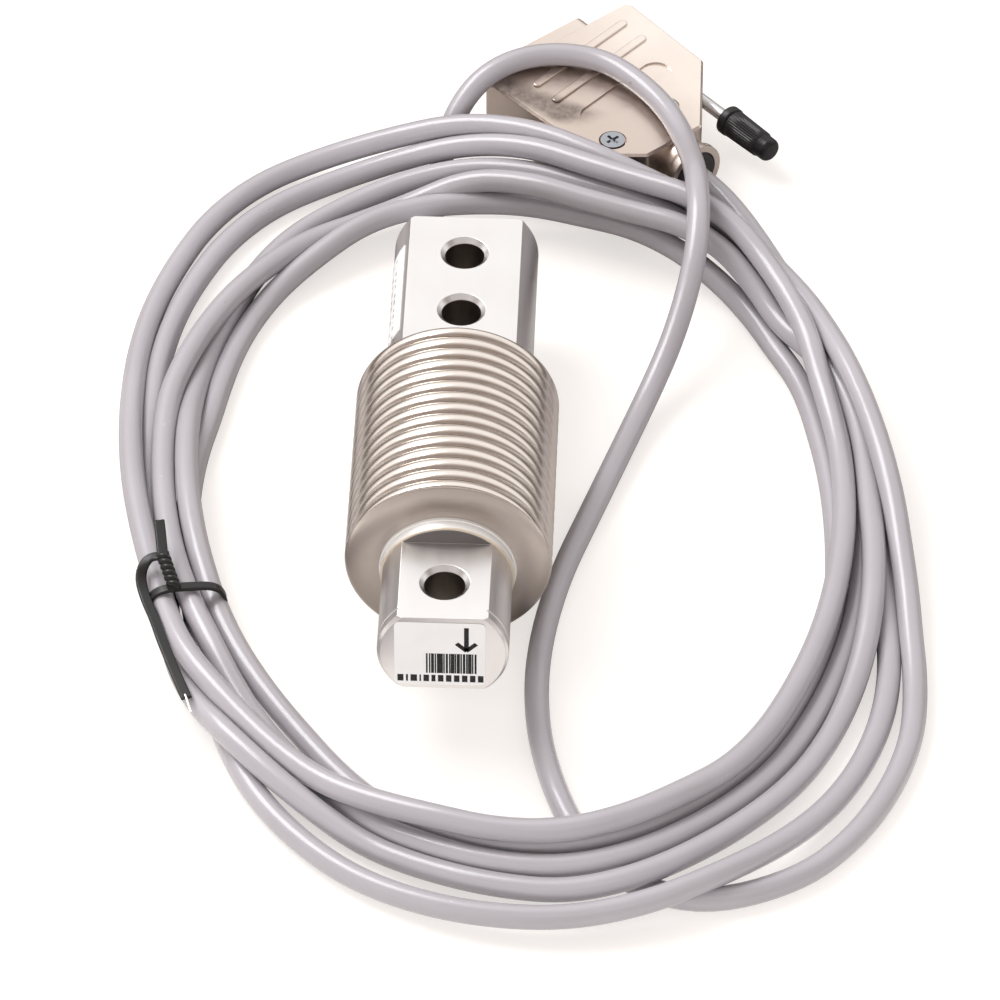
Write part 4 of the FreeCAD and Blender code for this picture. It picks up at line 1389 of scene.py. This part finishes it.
@dataclass
class Thumbscrew:
    """Black ribbed finger knob on one of the plug's long screws."""

    dresser: Dresser
    plug: PlugPlace
    name: str
    node: str
    body: Body
    x: float
    flange_y: float
    length: float = 14.8
    flange_radius: float = 3.35
    flange_round: float = 0.45
    flange_width: float = 1.7
    neck_radius: float = 3.15
    tip_radius: float = 2.85
    tip_round: float = 1.2
    tip_groove: float = 0.2
    groove_run: float = 0.3
    bore: float = 1.4
    socket: float = 9.0
    ribs_from: float = 2.4
    ribs_to: float = 3.4
    rib_swell: float = 0.08
    rib_rings: int = 6
    rib_count: int = 36
    rib_depth: float = 0.14
    rib_margin: float = 0.05
    bore_margin: float = 0.2
    sharp_deg: float = 40.0

    def profile(self, ribs: Flat) -> list[Flat]:
        """Section of the knob as (radius, y) points, with its ribs between two places along it."""
        start = self.flange_y
        end = start - self.length
        turn = self.flange_round
        rim = self.flange_radius - turn
        section = [(self.bore, start - self.socket), (self.bore, start)]
        section += arc((rim, start - turn), (turn, turn), 90.0, 0.0, 3)
        section += arc((rim, start - self.flange_width), (turn, turn), 0.0, -80.0, 3)
        for step in range(self.rib_rings + 1):
            share = step / self.rib_rings
            radius = self.neck_radius + (self.tip_radius + self.rib_swell - self.neck_radius) * share
            section.append((radius, ribs[0] + (ribs[1] - ribs[0]) * share))
        tip = self.tip_radius - self.tip_groove
        section.append((tip, ribs[1] - self.groove_run))
        reach = (tip - self.tip_radius + self.tip_round, -self.tip_round)
        section += arc((self.tip_radius - self.tip_round, end + self.tip_round), reach, 0.0, 90.0, 5)
        return [*section, (0.0, end), (0.0, start - self.socket)]

    def build(self) -> Piece:
        """Spin the knob, sink the grooves between its ribs and return it."""
        ribs = (self.flange_y - self.ribs_from, self.flange_y - self.length + self.ribs_to)
        height = self.plug.axis_height
        bm = spun(self.profile(ribs), (self.x, height), 4 * self.rib_count)
        axis = Vector((self.x, 0.0, height))
        for vertex in bm.verts:
            off = vertex.co - axis
            y = off.y
            off.y = 0.0
            ribbed = ribs[1] - self.rib_margin < y < ribs[0] - self.rib_margin
            if ribbed and off.length > self.bore + self.bore_margin:
                wave = 0.5 - 0.5 * math.cos(self.rib_count * math.atan2(off.z, off.x))
                vertex.co -= off.normalized() * self.rib_depth * wave
        knob = new_piece(bm, self.name, self.plug.matrix(), self.sharp_deg)
        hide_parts(self.node)
        return self.dresser.wear(knob, self.body, Slot.KNOB_BLACK, KNOB_BLACK)


@dataclass
class Plug:
    """Nickel plated hood with its screws, grommet, connector and thumbscrews."""

    dresser: Dresser
    place: PlugPlace
    right_knob_y: float = -38.5
    left_knob_y: float = -41.4

    def build(self) -> list[Piece]:
        """Dress the plug's nodes, make its knobs and return all of its pieces."""
        copy = self.dresser.copy
        paint = self.dresser.paint
        screw_x = self.place.screw_x
        right = ("finger_knob_right", "thumbscrew_knob_right", Body.RIGHT_SCREW, screw_x, self.right_knob_y)
        left = ("finger_knob_left", "thumbscrew_knob_left", Body.LEFT_SCREW, -screw_x, self.left_knob_y)
        return [
            copy("hood_upper", "hood_top_half", 0.3, Slot.HOOD_NICKEL, HOOD_NICKEL),
            copy("hood_lower", "hood_bottom_half", 0.3, Slot.HOOD_NICKEL, HOOD_NICKEL),
            copy("hood_screws", "hood_closing_screws", 0.2, Slot.SCREW_ZINC, HOOD_SCREW_ZINC),
            copy("cable_grommet", "cable_bush", 0.3, Slot.BLACK_RUBBER, BLACK_RUBBER),
            copy("connector_shell", "connector_skirt", 0.15, Slot.SHELL_TIN, HOOD_NICKEL),
            *paint(INSULATOR_BLACK, "connector_insulator"),
            *paint(PIN_GOLD, "connector_pins"),
            *paint(WIRE_PLASTIC, "plug_wires"),
            *paint(SCREW_ZINC, "thumbscrew_shaft_right", "thumbscrew_shaft_left"),
            *(Thumbscrew(self.dresser, self.place, *facts).build() for facts in (right, left)),
        ]


@dataclass
class LoadCell:
    """The measuring body with its bellows, labels, gland, gauges and board."""

    dresser: Dresser
    bores_y: tuple[float, ...] = (-50.75, 31.75, 49.75)
    bore_radius: float = 4.1
    bore_margin: float = 0.1
    steps_y: tuple[float, ...] = (-39.4, 19.5)
    step_margin: float = 0.2
    upright: float = 0.9
    rows_per_metre: float = 420.0

    def steel(self) -> None:
        """Dress the measuring body, with darker steel as painted shade in its bores and a finish of its own
        on its steps.
        """
        finishes = (BODY_STEEL, BORE_STEEL_PAINTED_SHADE, MILLED_STEEL)
        mesh = self.dresser.copy("measuring_body", "steel_body", 0.12, Slot.BODY_STEEL, *finishes).data
        for face in mesh.polygons:
            corners = [mesh.vertices[index].co[:2] for index in face.vertices]
            reach = min(max(math.dist(corner, (0.0, y * MM)) for corner in corners) for y in self.bores_y)
            to_step = min(abs(face.center.y - y * MM) for y in self.steps_y)
            if abs(face.normal.y) > self.upright and to_step < self.step_margin * MM:
                face.material_index = finishes.index(MILLED_STEEL)
            elif reach < (self.bore_radius + self.bore_margin) * MM:
                # The bore walls take the darker steel: painted shade inside the holes.
                face.material_index = finishes.index(BORE_STEEL_PAINTED_SHADE)
            else:
                face.material_index = finishes.index(BODY_STEEL)

    def build(self) -> list[Piece]:
        """Dress the load cell's nodes and return the pieces that belong to the cable: gland and seal."""
        copy = self.dresser.copy
        paint = self.dresser.paint
        self.steel()
        Bellows(self.dresser).build()
        FaceLabel(self.dresser).build()
        film = LabelStock("printed_label_film", rows_per_metre=self.rows_per_metre)
        copy("side_label", "wrapped_label", 0.02, Slot.LABEL_WHITE, film)
        paint(GAUGE_FOIL, "gauge_top_front", "gauge_top_rear", "gauge_bottom_front", "gauge_bottom_rear")
        paint(BOARD_GREEN, "bridge_board")
        paint(WIRE_PLASTIC, "core_wires")
        return [
            copy("cable_gland", "gland_bush", 0.2, Slot.GLAND_METAL, GLAND_NICKEL),
            copy("gland_seal", "gland_sleeve", 0.15, Slot.BLACK_RUBBER, BLACK_RUBBER),
        ]


def main() -> None:
    """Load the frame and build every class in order."""
    logging.basicConfig(level=logging.INFO, format="%(name)s: %(message)s")
    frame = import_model()
    dresser = Dresser(frame["nodes"])
    Studio().build()
    place = PlugPlace()
    cable = Cable(dresser, place)
    line = cable.build()
    on_cable = LoadCell(dresser).build()
    on_cable += CoilTie(dresser).build()
    on_cable += Plug(dresser, place).build()
    cable.declare()


if __name__ == "__main__":
    main()
